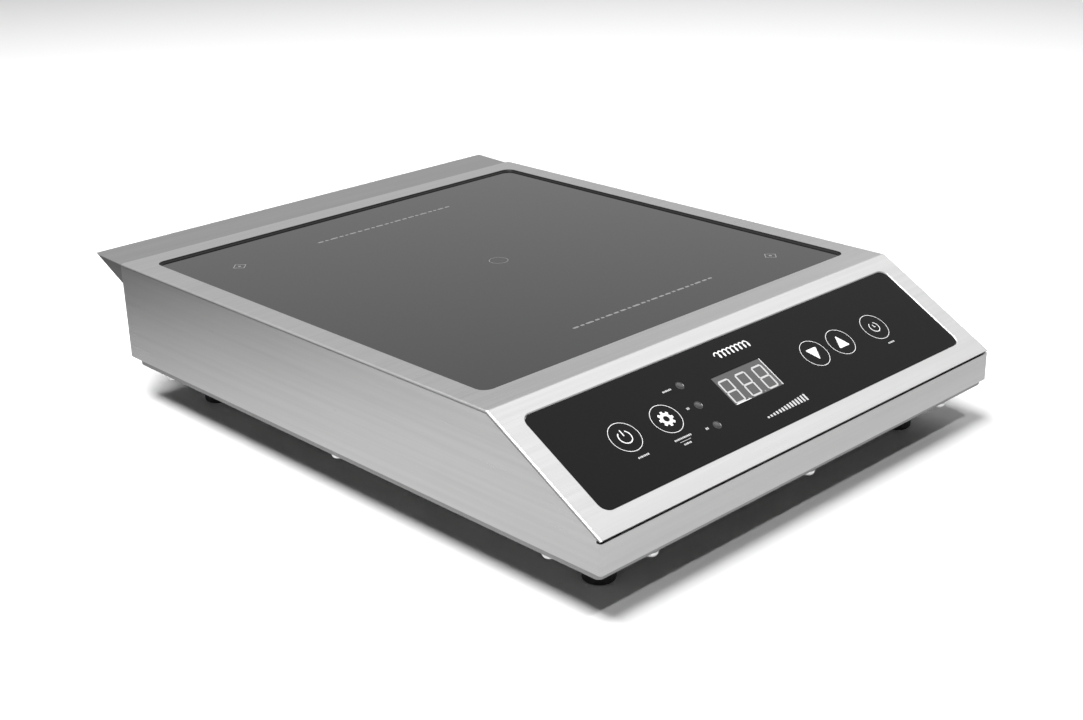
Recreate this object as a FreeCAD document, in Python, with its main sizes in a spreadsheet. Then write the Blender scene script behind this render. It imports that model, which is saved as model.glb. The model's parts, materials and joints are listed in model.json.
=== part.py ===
"""Countertop induction cooktop: a folded steel case with a black glass plate let into its top,
a sloping control panel in front, a spacer lip behind and four rubber feet below.

Frame: millimetres, +Z up, X to the cook's right, Y from the front edge to the rear.
The origin is on the worktop, under the middle of the whole object, lip included.
"""

import FreeCAD
import Part
import math
import os
import re
import Sketcher

Vector = FreeCAD.Vector

# ---------------------------------------------------------------- driving dimensions

DIMENSIONS = [
    # the case
    ("case_width", 306.0),
    ("case_depth", 382.0),
    ("case_height", 57.0),
    ("stand_height", 27.0),
    ("gauge", 1.0),
    ("bend", 1.5),
    ("slope_bend", 4.0),
    ("nose_height", 17.2),
    ("slope_run", 70.0),
    ("flange", 13.0),
    ("rear_flange", 20.0),
    # the strip that closes the front, and the lip behind
    ("rail_height", 15.6),
    ("rail_return", 2.4),
    ("rail_foot_play", 0.2),
    ("lip_reach", 28.5),
    ("lip_depth", 13.5),
    ("lip_step", 1.0),
    ("lip_tip_step", 0.0),
    ("lip_bend", 0.8),
    ("lip_inset", 1.0),
    # the glass plate and its opening
    ("side_border", 14.0),
    ("front_border", 16.9),
    ("rear_border", 15.1),
    ("opening_corner", 6.0),
    ("glass_thick", 4.0),
    ("glass_overlap", 5.0),
    ("glass_step", 0.2),
    ("glass_play", 0.1),
    ("bond_line", 0.5),
    ("bead_width", 1.2),
    ("bead_fall", 0.2),
    # the control panel, measured on the slope from its lower edge
    ("panel_side_border", 13.5),
    ("panel_start", 11.3),
    ("panel_top_border", 9.4),
    ("panel_corner", 5.0),
    ("rim_bend", 0.8),
    ("film_thick", 0.45),
    ("film_gap", 0.15),
    ("backing_thick", 0.8),
    ("backing_margin", 4.5),
    ("key_radius", 8.8),
    ("key_gap", 0.1),
    ("key_travel", 0.35),
    ("key_row", 41.1),
    ("power_spot", -99.0),
    ("mode_spot", -70.7),
    ("down_spot", 43.6),
    ("up_spot", 65.7),
    ("timer_spot", 95.9),
    ("plunger_radius", 1.75),
    ("switch_side", 6.0),
    ("switch_height", 4.3),
    ("lamp_column", -47.9),
    ("lamp_first", 27.3),
    ("lamp_pitch", 13.6),
    ("lamp_radius", 2.5),
    ("display_width", 37.7),
    ("display_height", 19.0),
    ("display_deep", 8.0),
    ("display_spot", -9.6),
    ("display_row", 41.9),
    ("pane_play", 0.1),
    ("backing_play", 0.2),
    ("lamp_flange", 0.4),
    ("lamp_flange_thick", 1.0),
    ("lamp_fall", 1.2),
    ("switch_well", 1.0),
    ("board_thick", 1.6),
    ("control_board_margin", 14.5),
    ("control_board_height", 44.0),
    ("card_corner", 5.0),
    ("card_hole", 1.6),
    ("card_post", 3.0),
    ("card_shank", 1.25),
    ("card_grip", 4.0),
    ("card_head", 2.7),
    ("card_head_height", 1.8),
    ("thread_play", 0.05),
    ("bore_spare", 1.0),
    # the pan under the case
    ("pan_drop", 3.4),
    ("pan_side_inset", 1.0),
    ("pan_front_inset", 2.0),
    ("pan_rear_inset", 8.0),
    ("pan_bend", 0.8),
    ("screw_radius", 1.95),
    ("screw_play", 0.3),
    ("screw_head", 4.0),
    ("screw_head_height", 2.8),
    ("screw_end", 2.0),
    ("nut_clear", 0.2),
    ("nut_side_clear", 1.2),
    ("screw_front_spread", 115.0),
    ("screw_side_spread", 154.0),
    ("nut_radius", 2.8),
    ("slot_width", 3.6),
    ("slot_pitch", 7.5),
    ("slot_length", 66.0),
    ("slot_count", 10),
    # the feet
    ("foot_inset", 34.0),
    ("foot_rear_inset", 37.0),
    ("foot_top_radius", 10.5),
    ("foot_radius", 8.2),
    ("foot_bore", 2.7),
    ("foot_sink", 5.0),
    ("foot_sink_radius", 5.2),
    ("foot_edge", 0.8),
    ("foot_skirt", 2.0),
    ("foot_shank", 2.5),
    ("foot_head", 4.4),
    ("foot_head_height", 3.2),
    ("foot_head_edge", 1.2),
    ("foot_thread", 6.0),
    ("foot_nut", 4.6),
    ("foot_nut_height", 4.0),
    # the rear wall
    ("vent_height", 20.0),
    ("vent_low", 9.0),
    ("vent_first", -118.0),
    ("vent_pitch", 8.6),
    ("vent_count", 22),
    ("gland_spot", 108.0),
    ("gland_rise", 20.0),
    ("gland_barrel", 8.0),
    ("gland_bore", 4.5),
    ("gland_flange", 11.0),
    ("gland_dome", 9.0),
    ("gland_play", 0.1),
    ("gland_flange_thick", 4.0),
    ("gland_step", 0.6),
    ("gland_dome_end", 12.0),
    ("gland_length", 15.0),
    ("gland_taper", 1.6),
    ("gland_inside", 10.0),
    ("gland_nut_reach", 4.5),
    ("gland_nut_thick", 5.0),
    # the blank rating plate
    ("plate_width", 70.0),
    ("plate_depth", 40.0),
    ("plate_thick", 0.4),
    ("plate_from_rear", 75.0),
    # the coil under the glass
    ("mica_thick", 0.5),
    ("coil_outer", 94.0),
    ("coil_inner", 22.0),
    ("coil_thick", 5.0),
    ("coil_turns", 22),
    ("coil_groove", 0.8),
    ("lead_radius", 2.2),
    ("lead_play", 0.3),
    ("lead_first", 20.0),
    ("lead_second", 8.0),
    ("lead_first_y", 40.0),
    ("lead_second_y", 44.0),
    ("former_radius", 99.0),
    ("former_thick", 3.0),
    ("former_hub", 12.0),
    ("former_rim", 2.0),
    ("former_rim_fall", 1.0),
    ("arm_reach", 138.0),
    ("arm_width", 16.0),
    ("ferrite_length", 58.0),
    ("ferrite_width", 13.0),
    ("ferrite_thick", 6.0),
    ("ferrite_start", 30.0),
    ("ferrite_count", 8),
    ("pillar_radius", 4.5),
    ("coil_head_height", 2.4),
    ("coil_thread", 10.0),
    ("holder_flange", 4.0),
    ("holder_play", 0.2),
    ("holder_deep", 3.0),
    ("holder_floor", 1.5),
    ("holder_rise", 6.0),
    ("holder_bore", 6.2),
    ("sensor_radius", 5.6),
    ("sensor_thick", 2.0),
    ("spring_wire", 0.35),
    ("spring_radius", 4.6),
    ("spring_turns", 5),
    ("spring_play", 0.1),
    # the fan
    ("fan_side", 92.0),
    ("fan_thick", 25.0),
    ("fan_bore", 44.0),
    ("fan_hub", 18.5),
    ("fan_gap", 1.0),
    ("fan_y", 42.0),
    ("fan_tip_gap", 1.0),
    ("fan_screw_inset", 4.9),
    ("fan_screw_radius", 2.0),
    ("fan_screw_play", 0.15),
    ("fan_head", 3.4),
    ("fan_head_height", 2.2),
    ("fan_corner", 5.0),
    ("fan_floor", 2.0),
    ("strut_width", 4.0),
    ("tube_radius", 4.6),
    ("tube_height", 18.0),
    ("tube_bore", 3.0),
    ("sleeve_long", 4.0),
    ("fan_axle", 1.5),
    ("axle_start", 1.5),
    ("axle_long", 18.5),
    ("axle_play", 0.05),
    ("upper_sleeve", 13.5),
    ("stator_gap", 3.0),
    ("stator_start", 4.0),
    ("stator_thick", 12.0),
    ("cup_wall", 2.0),
    ("cup_start", 3.0),
    ("cup_height", 19.0),
    ("blade_count", 7),
    ("blade_pitch", 38.0),
    ("blade_chord", 26.0),
    ("blade_thick", 1.6),
    ("blade_rise", 13.0),
    # the power board
    ("board_y", 20.0),
    ("board_fan_gap", 10.0),
    ("board_side_gap", 12.0),
    ("board_depth", 164.0),
    ("board_rise", 6.0),
    ("board_corner", 6.0),
    ("board_hole", 1.8),
    ("board_post", 3.5),
    ("board_shank", 1.45),
    ("board_grip", 4.5),
    ("board_head", 3.0),
    ("board_head_height", 2.0),
    ("sink_width", 60.0),
    ("sink_depth", 104.0),
    ("sink_height", 28.0),
    ("sink_base", 5.0),
    ("fin_pitch", 6.0),
    ("fin_thick", 2.0),
    ("sink_margin", 4.0),
    ("sink_from_rear", 14.0),
    # the components that stand on it
    ("chip_thick", 4.6),
    ("chip_gap", 0.3),
    ("chip_lift", 3.0),
    ("leg_pitch", 5.0),
    ("leg_width", 1.4),
    ("leg_thick", 0.8),
    ("choke_radius", 11.0),
    ("choke_wire", 6.5),
    ("can_radius", 8.0),
    ("can_height", 24.0),
    ("core_lift", 5.0),
    ("well_radius", 2.4),
    ("well_pitch", 12.0),
    ("well_floor", 6.0),
    ("fuse_radius", 2.5),
    ("fuse_long", 14.0),
    ("fuse_cap", 3.0),
    ("fuse_cap_long", 4.0),
    ("fuse_rise", 5.0),
    ("clip_height", 2.0),
    # the flat lead between the boards
    ("ribbon_width", 24.0),
    ("ribbon_thick", 1.2),
    ("ribbon_rise", 1.0),
    ("ribbon_sweep", 6.0),
    ("ribbon_end", 12.0),
    ("ribbon_bite", 0.02),
]

DOC = FreeCAD.newDocument("induction_cooktop")
DIMS = DOC.addObject("Spreadsheet::Sheet", "dims")
for row, (alias, number) in enumerate(DIMENSIONS, 1):
    DIMS.set(f"A{row}", alias)
    DIMS.set(f"B{row}", str(number))
    DIMS.setAlias(f"B{row}", alias)
DOC.recompute()

ALIASES = {alias for alias, _ in DIMENSIONS}
WORD = re.compile(r"[A-Za-z_]+")

# ---------------------------------------------------------------- places worked out from them

Y_FRONT = "(-(case_depth + lip_reach) / 2)"
Y_REAR = f"({Y_FRONT} + case_depth)"
Z_TOP = "(stand_height + case_height)"
Z_PAN = "(stand_height - pan_drop)"
Z_FLOOR = f"({Z_PAN} + gauge)"
SLOPE = "atan2(case_height - nose_height; slope_run)"
Z_GLASS = f"({Z_TOP} - gauge - bond_line)"
Z_GLASS_UNDER = f"({Z_GLASS} - glass_thick)"
OPENING_WIDTH = "(case_width - 2 * side_border)"
OPENING_DEPTH = "(case_depth - slope_run - front_border - rear_border)"
GLASS_Y = f"({Y_FRONT} + slope_run + front_border + {OPENING_DEPTH} / 2)"
PANEL_WIDTH = "(case_width - 2 * panel_side_border)"
SLOPE_RISE = "(case_height - nose_height)"
SLOPE_LENGTH = f"sqrt({SLOPE_RISE} * {SLOPE_RISE} + slope_run * slope_run)"
PANEL_HEIGHT = f"({SLOPE_LENGTH} - panel_start - panel_top_border)"
CARD_WIDTH = f"({PANEL_WIDTH} - 2 * control_board_margin)"
Z_COIL = f"({Z_GLASS_UNDER} - mica_thick - coil_thick)"
Z_FORMER = f"({Z_COIL} - former_thick)"
Z_BOARD = f"({Z_FLOOR} + board_rise)"
Z_BOARD_TOP = f"({Z_BOARD} + board_thick)"
FAN_X = "(-(case_width / 2 - gauge - flange) + fan_gap + fan_side / 2)"
BOARD_LEFT = f"({FAN_X} + fan_side / 2 + board_fan_gap)"
BOARD_RIGHT = "(case_width / 2 - gauge - board_side_gap)"
BOARD_WIDTH = f"({BOARD_RIGHT} - {BOARD_LEFT})"
BOARD_X = f"(({BOARD_LEFT} + {BOARD_RIGHT}) / 2)"
BOARD_FACE = "(-gauge - display_deep)"
FILM_FACE = "(-gauge + film_thick)"
KEYS = ("power", "mode", "down", "up", "timer")

FLAT = "rotation(vector(0; 0; 1); 0)"
FACING_FRONT = "rotation(vector(1; 0; 0); 90)"
FACING_SIDE = "rotation(vector(1; 1; 1); 120)"
ALONG_REAR = "rotation(vector(1; 0; 0); -90)"
PANEL = f"placement(vector(0; {Y_FRONT}; stand_height + nose_height); rotation(vector(1; 0; 0); {SLOPE}))"


def formula(text):
    """The text with every dimension's name turned into a reference to the sheet."""
    return WORD.sub(lambda m: f"dims.{m.group()}" if m.group() in ALIASES else m.group(), text)


def value(text):
    """The number that a formula gives now."""
    found = DIMS.evalExpression(formula(text))
    return float(getattr(found, "Value", found))


def bind(thing, **formulas):
    """Ties properties of an object to formulas."""
    for name, text in formulas.items():
        thing.setExpression(name, formula(text))
    return thing


def spot(x="0", y="0", z="0", turn=FLAT, on_panel=False):
    """A placement formula: a point and a turn, in the object's frame or on the sloping panel."""
    local = f"placement(vector({x}; {y}; {z}); {turn})"
    return f"{PANEL} * {local}" if on_panel else local


# ---------------------------------------------------------------- solids from primitives


def box(name, size, at, on_panel=False):
    """A block centred on X and Y, standing on its place."""
    made = DOC.addObject("Part::Box", name)
    length, width, height = size
    x, y, z = at
    bind(made, Length=length, Width=width, Height=height)
    corner = spot(f"{x} - ({length}) / 2", f"{y} - ({width}) / 2", z, on_panel=on_panel)
    return bind(made, Placement=corner)


def rod(name, radius, height, at, turn=FLAT, on_panel=False):
    """A cylinder standing on its place."""
    made = DOC.addObject("Part::Cylinder", name)
    bind(made, Radius=radius, Height=height)
    return bind(made, Placement=spot(*at, turn=turn, on_panel=on_panel))


def cut(name, base, *tools):
    """The base with the tools taken away."""
    made = DOC.addObject("Part::Cut", name)
    made.Base = base
    made.Tool = tools[0] if len(tools) == 1 else group(f"{name}_tools", *tools)
    return made


def fuse(name, *pieces):
    """One solid of several that touch."""
    made = DOC.addObject("Part::MultiFuse", name)
    made.Shapes = list(pieces)
    made.Refine = True
    return made


def group(name, *pieces):
    """Several solids kept apart in one object."""
    made = DOC.addObject("Part::Compound", name)
    made.Links = list(pieces)
    return made


# ---------------------------------------------------------------- sketches and bodies


def new_sketch(name, body=None, at=("0", "0", "0"), turn=FLAT, on_panel=False):
    """An empty sketch, on its own or on the base plane of a body."""
    where = formula(spot(*at, turn=turn, on_panel=on_panel))
    if body is None:
        made = DOC.addObject("Sketcher::SketchObject", name)
        made.setExpression("Placement", where)
        return made
    made = body.newObject("Sketcher::SketchObject", name)
    ground = next(f for f in body.Origin.OriginFeatures if f.Role == "XY_Plane")
    made.AttachmentSupport = [(ground, "")]
    made.MapMode = "FlatFace"
    made.setExpression("AttachmentOffset", where)
    return made


def pin_point(sketch, edge, end, x, y):
    """Holds one point of a sketch at two formulas."""
    for axis, text in (("X", x), ("Y", y)):
        kind = f"Distance{axis}"
        index = sketch.addConstraint(Sketcher.Constraint(kind, -1, 1, edge, end, value(text)))
        name = f"{axis.lower()}{index}"
        sketch.renameConstraint(index, name)
        sketch.setExpression(f"Constraints.{name}", formula(text))


def polygon(sketch, points):
    """A closed outline of straight lines through points given as formulas."""
    first = sketch.GeometryCount
    count = len(points)
    spots = [Vector(value(x), value(y), 0) for x, y in points]
    for start, end in zip(spots, spots[1:] + spots[:1]):
        sketch.addGeometry(Part.LineSegment(start, end), False)
    for i in range(count):
        join = Sketcher.Constraint("Coincident", first + i, 2, first + (i + 1) % count, 1)
        sketch.addConstraint(join)
    for i, (x, y) in enumerate(points):
        pin_point(sketch, first + i, 1, x, y)
    return sketch


def rectangle(sketch, x, y, width, height):
    """A rectangle round a centre."""
    left, right = f"{x} - ({width}) / 2", f"{x} + ({width}) / 2"
    low, high = f"{y} - ({height}) / 2", f"{y} + ({height}) / 2"
    return polygon(sketch, [(left, low), (right, low), (right, high), (left, high)])


def circle(sketch, x, y, radius):
    """A circle whose centre and radius follow formulas."""
    ring = Part.Circle(Vector(value(x), value(y), 0), Vector(0, 0, 1), value(radius))
    edge = sketch.addGeometry(ring, False)
    index = sketch.addConstraint(Sketcher.Constraint("Radius", edge, value(radius)))
    name = f"r{index}"
    sketch.renameConstraint(index, name)
    sketch.setExpression(f"Constraints.{name}", formula(radius))
    pin_point(sketch, edge, 3, x, y)
    return sketch


def slot(sketch, x, low, high, width):
    """An upright slot with round ends; low and high are its end-to-end limits."""
    radius = f"({width}) / 2"
    r, cx = value(radius), value(x)
    centres = [(value(f"{low} + {radius}"), math.pi, 2 * math.pi), (value(f"{high} - {radius}"), 0, math.pi)]
    arcs = []
    for cy, start, end in centres:
        ring = Part.Circle(Vector(cx, cy, 0), Vector(0, 0, 1), r)
        round_end = Part.ArcOfCircle(ring, start, end)
        arcs.append(sketch.addGeometry(round_end, False))
    lower, upper = arcs
    low_y, high_y = centres[0][0], centres[1][0]
    right_side = Part.LineSegment(Vector(cx + r, low_y, 0), Vector(cx + r, high_y, 0))
    left_side = Part.LineSegment(Vector(cx - r, high_y, 0), Vector(cx - r, low_y, 0))
    right = sketch.addGeometry(right_side, False)
    left = sketch.addGeometry(left_side, False)
    joins = ((lower, 2, right, 1), (right, 2, upper, 1), (upper, 2, left, 1), (left, 2, lower, 1))
    for join in joins:
        sketch.addConstraint(Sketcher.Constraint("Tangent", *join))
    index = sketch.addConstraint(Sketcher.Constraint("Radius", lower, r))
    sketch.renameConstraint(index, f"r{index}")
    sketch.setExpression(f"Constraints.r{index}", formula(radius))
    pin_point(sketch, lower, 3, x, f"{low} + {radius}")
    pin_point(sketch, upper, 3, x, f"{high} - {radius}")
    return sketch


def new_body(name):
    return DOC.addObject("PartDesign::Body", name)


def pad(body, sketch, length, both_ways=False, reverse=False):
    """Material along the sketch's normal."""
    made = body.newObject("PartDesign::Pad", f"{sketch.Name}_pad")
    made.Profile = sketch
    made.Midplane = both_ways
    made.Reversed = reverse
    bind(made, Length=length)
    DOC.recompute()
    return made


def pocket(body, sketch, length):
    """A cut to both sides of the sketch's plane, which has to take material away."""
    before = body.Shape.Volume
    made = body.newObject("PartDesign::Pocket", f"{sketch.Name}_pocket")
    made.Profile = sketch
    made.Midplane = True
    bind(made, Length=length)
    DOC.recompute()
    if not made.Shape.Volume < before - 1e-6:
        raise RuntimeError(f"{sketch.Name} cuts nothing from {body.Label}")
    return made


def edges_where(feature, test):
    """The names of a feature's edges whose middle and direction pass a test."""
    names = []
    for number, edge in enumerate(feature.Shape.Edges, 1):
        middle = edge.valueAt((edge.FirstParameter + edge.LastParameter) / 2)
        ends = [v.Point for v in edge.Vertexes]
        run = ends[1] - ends[0] if len(ends) == 2 else Vector()
        if test(middle, run):
            names.append(f"Edge{number}")
    return names


def fillet(body, feature, radius, test):
    """Rounds the edges that pass a test."""
    made = body.newObject("PartDesign::Fillet", f"{feature.Name}_fillet")
    made.Base = (feature, edges_where(feature, test))
    bind(made, Radius=radius)
    DOC.recompute()
    return made


def near(a, b, within=0.01):
    return abs(a - b) < within


def upright(run):
    return near(run.x, 0) and near(run.y, 0) and abs(run.z) > 0.01


def along(run, normal):
    """Whether an edge runs along a plate's normal."""
    return run.Length > 0.1 and near(abs(run.dot(normal)), run.Length)


def row_of(body, feature, direction, step, count):
    """Repeats a cut along one of the body's axes."""
    made = body.newObject("PartDesign::LinearPattern", f"{feature.Name}_row")
    made.Originals = [feature]
    axis = next(f for f in body.Origin.OriginFeatures if f.Role == f"{direction}_Axis")
    made.Direction = (axis, [""])
    bind(made, Length=f"({step}) * ({count} - 1)", Occurrences=count)
    body.Tip = made
    DOC.recompute()
    return made


def turned(name, outline, places, turn=FLAT):
    """Copies of a piece turned on a lathe: the outline is (radius, height) points."""
    profile = new_sketch(f"{name}_outline", turn=FACING_FRONT)
    polygon(profile, outline)
    pieces = []
    for number, at in enumerate(places):
        made = DOC.addObject("Part::Revolution", f"{name}_{number}")
        made.Source = profile
        made.Axis = Vector(0, 0, 1)
        made.Base = Vector(0, 0, 0)
        made.Angle = 360
        made.Solid = True
        bind(made, Placement=spot(*at, turn=turn))
        pieces.append(made)
    return pieces[0] if len(pieces) == 1 else group(name, *pieces)


NODES = {}


def keep(label, made):
    """Names a finished piece; its label is the name of its file."""
    made.Label = label
    NODES[label] = made
    return made


# ---------------------------------------------------------------- the folded case


def top_cover():
    """Top, slope, sides and rear wall, folded from one sheet and welded at the rear corners."""
    body = new_body("cover")
    half_slope = f"tan({SLOPE} / 2) * gauge"
    under_y = f"{Y_FRONT} + gauge * sin({SLOPE})"
    under_z = f"stand_height + nose_height - gauge * cos({SLOPE})"
    side_start = f"{Y_FRONT} + rail_return"
    side_top = f"{under_z} + (rail_return - gauge * sin({SLOPE})) * tan({SLOPE})"
    outline = new_sketch("cover_outline", body, turn=FACING_SIDE)
    polygon(
        outline,
        [
            (Y_FRONT, "stand_height + nose_height"),
            (under_y, under_z),
            (side_start, side_top),
            (side_start, "stand_height"),
            (Y_REAR, "stand_height"),
            (Y_REAR, Z_TOP),
            (f"{Y_FRONT} + slope_run", Z_TOP),
        ],
    )
    block = pad(body, outline, "case_width", both_ways=True)
    half, rear, top = value("case_width / 2"), value(Y_REAR), value(Z_TOP)
    nose, bend_y = value("stand_height + nose_height"), value(f"{Y_FRONT} + slope_run")

    def folded(middle, run):
        on_side = near(abs(middle.x), half)
        top_edge = on_side and near(middle.z, top)
        slope_edge = on_side and run.z * run.y > 0 and middle.z > nose
        rear_upright = on_side and near(middle.y, rear) and upright(run)
        rear_edge = near(middle.y, rear) and near(middle.z, top)
        return top_edge or slope_edge or rear_upright or rear_edge

    def over_the_slope(middle, run):
        return near(middle.x, 0) and near(middle.z, top) and near(middle.y, bend_y)

    sloped = fillet(body, block, "slope_bend", over_the_slope)
    fillet(body, sloped, "bend", folded)

    ahead = "2 * rail_return"
    inside = new_sketch("cover_inside", body, turn=FACING_SIDE)
    polygon(
        inside,
        [
            (f"{Y_FRONT} - ({ahead})", "stand_height + gauge"),
            (f"{Y_REAR} - gauge", "stand_height + gauge"),
            (f"{Y_REAR} - gauge", f"{Z_TOP} - gauge"),
            (f"{Y_FRONT} + slope_run + {half_slope}", f"{Z_TOP} - gauge"),
            (under_y, under_z),
            (f"{Y_FRONT} - ({ahead})", f"{under_z} - ({ahead} + gauge * sin({SLOPE})) * tan({SLOPE})"),
        ],
    )
    pocket(body, inside, "case_width - 2 * gauge")

    inner = "case_width / 2 - gauge"
    flange_front = f"{Y_FRONT} + 2 * gauge + flange"
    ahead_of_front = f"{Y_FRONT} - rail_return"
    mouth = new_sketch("cover_mouth", body, at=("0", "0", "stand_height"))
    polygon(
        mouth,
        [
            (f"-({inner})", ahead_of_front),
            (inner, ahead_of_front),
            (inner, flange_front),
            (f"{inner} - flange", flange_front),
            (f"{inner} - flange", f"{Y_REAR} - gauge - rear_flange"),
            (f"-({inner} - flange)", f"{Y_REAR} - gauge - rear_flange"),
            (f"-({inner} - flange)", flange_front),
            (f"-({inner})", flange_front),
        ],
    )
    pocket(body, mouth, "3 * gauge")

    opening = new_sketch("glass_opening", body, at=("0", "0", Z_TOP))
    rectangle(opening, "0", GLASS_Y, OPENING_WIDTH, OPENING_DEPTH)
    opened = pocket(body, opening, "4 * gauge")
    half_w, half_d = value(f"{OPENING_WIDTH} / 2"), value(f"{OPENING_DEPTH} / 2")
    mid_y = value(GLASS_Y)
    fillet(
        body,
        opened,
        "opening_corner",
        lambda m, run: upright(run) and near(abs(m.x), half_w) and near(abs(m.y - mid_y), half_d),
    )

    window = new_sketch("panel_opening", body, on_panel=True)
    rectangle(window, "0", f"panel_start + {PANEL_HEIGHT} / 2", PANEL_WIDTH, PANEL_HEIGHT)
    cut_through = pocket(body, window, "4 * gauge")
    angle = math.radians(value(SLOPE))
    normal = Vector(0, -math.sin(angle), math.cos(angle))
    half_panel = value(f"{PANEL_WIDTH} / 2")
    corners = fillet(
        body,
        cut_through,
        "panel_corner",
        lambda m, run: near(abs(m.x), half_panel) and along(run, normal),
    )
    base = Vector(0, value(Y_FRONT), value("stand_height + nose_height"))
    up = Vector(0, math.cos(angle), math.sin(angle))
    low_v, high_v = value("panel_start"), value(f"panel_start + {PANEL_HEIGHT}")

    def rim(middle, run):
        local = middle - base
        v, w = local.dot(up), local.dot(normal)
        inside_x = abs(middle.x) < half_panel + 0.1
        return near(w, 0) and inside_x and low_v - 0.1 < v < high_v + 0.1

    fillet(body, corners, "rim_bend", rim)

    vent = new_sketch("rear_vent", body, at=("0", Y_REAR, "0"), turn=FACING_FRONT)
    slot(vent, "vent_first", "stand_height + vent_low", "stand_height + vent_low + vent_height", "slot_width")
    vent_cut = pocket(body, vent, "4 * gauge")
    row_of(body, vent_cut, "X", "vent_pitch", "vent_count")

    holes = new_sketch("cover_holes", body, at=("0", "0", "stand_height"))
    for x, y in SCREWS_IN_COVER:
        circle(holes, x, y, "screw_radius + screw_play")
    pocket(body, holes, "4 * gauge")
    gland = new_sketch("gland_hole", body, at=("0", Y_REAR, "0"), turn=FACING_FRONT)
    circle(gland, "gland_spot", "stand_height + gland_rise", "gland_barrel + gland_play")
    pocket(body, gland, "4 * gauge")
    keep("top_cover", body)


FRONT_SCREW_Y = f"({Y_FRONT} + pan_front_inset + gauge + nut_radius + nut_clear)"
REAR_SCREW_Y = f"({Y_REAR} - pan_rear_inset - gauge - nut_radius - nut_clear)"
SIDE_SCREW_X = "(case_width / 2 - pan_side_inset - gauge - nut_radius - nut_side_clear)"
SCREWS_IN_RAIL = [(f"{side} * screw_front_spread", FRONT_SCREW_Y) for side in (-1, 0, 1)]
SCREWS_IN_COVER = [
    (f"{side} * {SIDE_SCREW_X}", f"({Y_FRONT} + case_depth / 2 + {step} * screw_side_spread)")
    for side in (-1, 1)
    for step in (-1, 0, 1)
] + [(f"{side} * screw_front_spread", REAR_SCREW_Y) for side in (-1, 0, 1)]


def front_rail():
    """The strip that closes the front under the panel's lower edge, with a foot for its screws."""
    body = new_body("rail")
    half = "case_width / 2"
    wall = new_sketch("rail_wall", body, at=("0", "0", "stand_height"))
    back = f"{Y_FRONT} + rail_return"
    polygon(
        wall,
        [
            (f"-{half}", Y_FRONT),
            (half, Y_FRONT),
            (half, back),
            (f"{half} - gauge", back),
            (f"{half} - gauge", f"{Y_FRONT} + gauge"),
            (f"-({half} - gauge)", f"{Y_FRONT} + gauge"),
            (f"-({half} - gauge)", back),
            (f"-{half}", back),
        ],
    )
    strip = pad(body, wall, "rail_height")
    x, y = value(half), value(Y_FRONT)
    fillet(body, strip, "bend", lambda m, run: upright(run) and near(abs(m.x), x) and near(m.y, y))
    foot = new_sketch("rail_foot", body, at=("0", "0", "stand_height"))
    width = "case_width - 2 * gauge - 2 * rail_foot_play"
    depth = "(flange + gauge / 2)"
    rectangle(foot, "0", f"{Y_FRONT} + gauge / 2 + {depth} / 2", width, depth)
    pad(body, foot, "gauge")
    holes = new_sketch("rail_holes", body, at=("0", "0", "stand_height"))
    for hole_x, hole_y in SCREWS_IN_RAIL:
        circle(holes, hole_x, hole_y, "screw_radius + screw_play")
    pocket(body, holes, "4 * gauge")
    keep("front_rail", body)


def rear_lip():
    """The folded lip that keeps the case off the wall and turns the exhaust down; open to the case."""
    body = new_body("lip")
    root = (Y_REAR, f"{Z_TOP} - lip_step")
    tip = (f"{Y_REAR} + lip_reach", f"{Z_TOP} - lip_tip_step")
    under = (Y_REAR, f"{Z_TOP} - lip_depth")
    outline = new_sketch("lip_outline", body, turn=FACING_SIDE)
    polygon(outline, [root, under, tip])
    blank = pad(body, outline, "case_width - 2 * lip_inset", both_ways=True)
    end_x, rear = value("case_width / 2 - lip_inset"), value(Y_REAR)
    fillet(body, blank, "lip_bend", lambda m, run: near(abs(m.x), end_x) and m.y > rear + 1)
    # both sheets' inner faces are a gauge in from the outline, and meet at a point short of the tip
    roof = "((lip_step - lip_tip_step) / lip_reach)"
    floor = "((lip_depth - lip_tip_step) / lip_reach)"
    roof_drop = f"(gauge * sqrt(1 + {roof} * {roof}))"
    floor_lift = f"(gauge * sqrt(1 + {floor} * {floor}))"
    mouth = f"(lip_depth - lip_step - {roof_drop} - {floor_lift})"
    meet = f"({mouth} / ({floor} - {roof}))"
    ahead = "(2 * gauge)"
    hollow = new_sketch("lip_hollow", body, turn=FACING_SIDE)
    polygon(
        hollow,
        [
            (f"{Y_REAR} - {ahead}", f"{Z_TOP} - lip_step - {roof_drop} - {ahead} * {roof}"),
            (f"{Y_REAR} - {ahead}", f"{under[1]} + {floor_lift} - {ahead} * {floor}"),
            (f"{Y_REAR} + {meet}", f"{Z_TOP} - lip_step - {roof_drop} + {meet} * {roof}"),
        ],
    )
    pocket(body, hollow, "case_width - 2 * lip_inset - 2 * gauge")
    keep("rear_lip", body)


# ---------------------------------------------------------------- the glass and its bead


def rounded_plate(name, x, y, z, width, depth, thick, corner, on_panel=False):
    """A flat plate with round corners, standing on its place."""
    body = new_body(name)
    outline = new_sketch(f"{name}_outline", body, at=("0", "0", z), on_panel=on_panel)
    rectangle(outline, x, y, width, depth)
    block = pad(body, outline, thick)
    tilt = math.radians(value(SLOPE)) if on_panel else 0.0
    normal = Vector(0, -math.sin(tilt), math.cos(tilt))
    fillet(body, block, corner, lambda m, run: along(run, normal))
    return body


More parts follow.
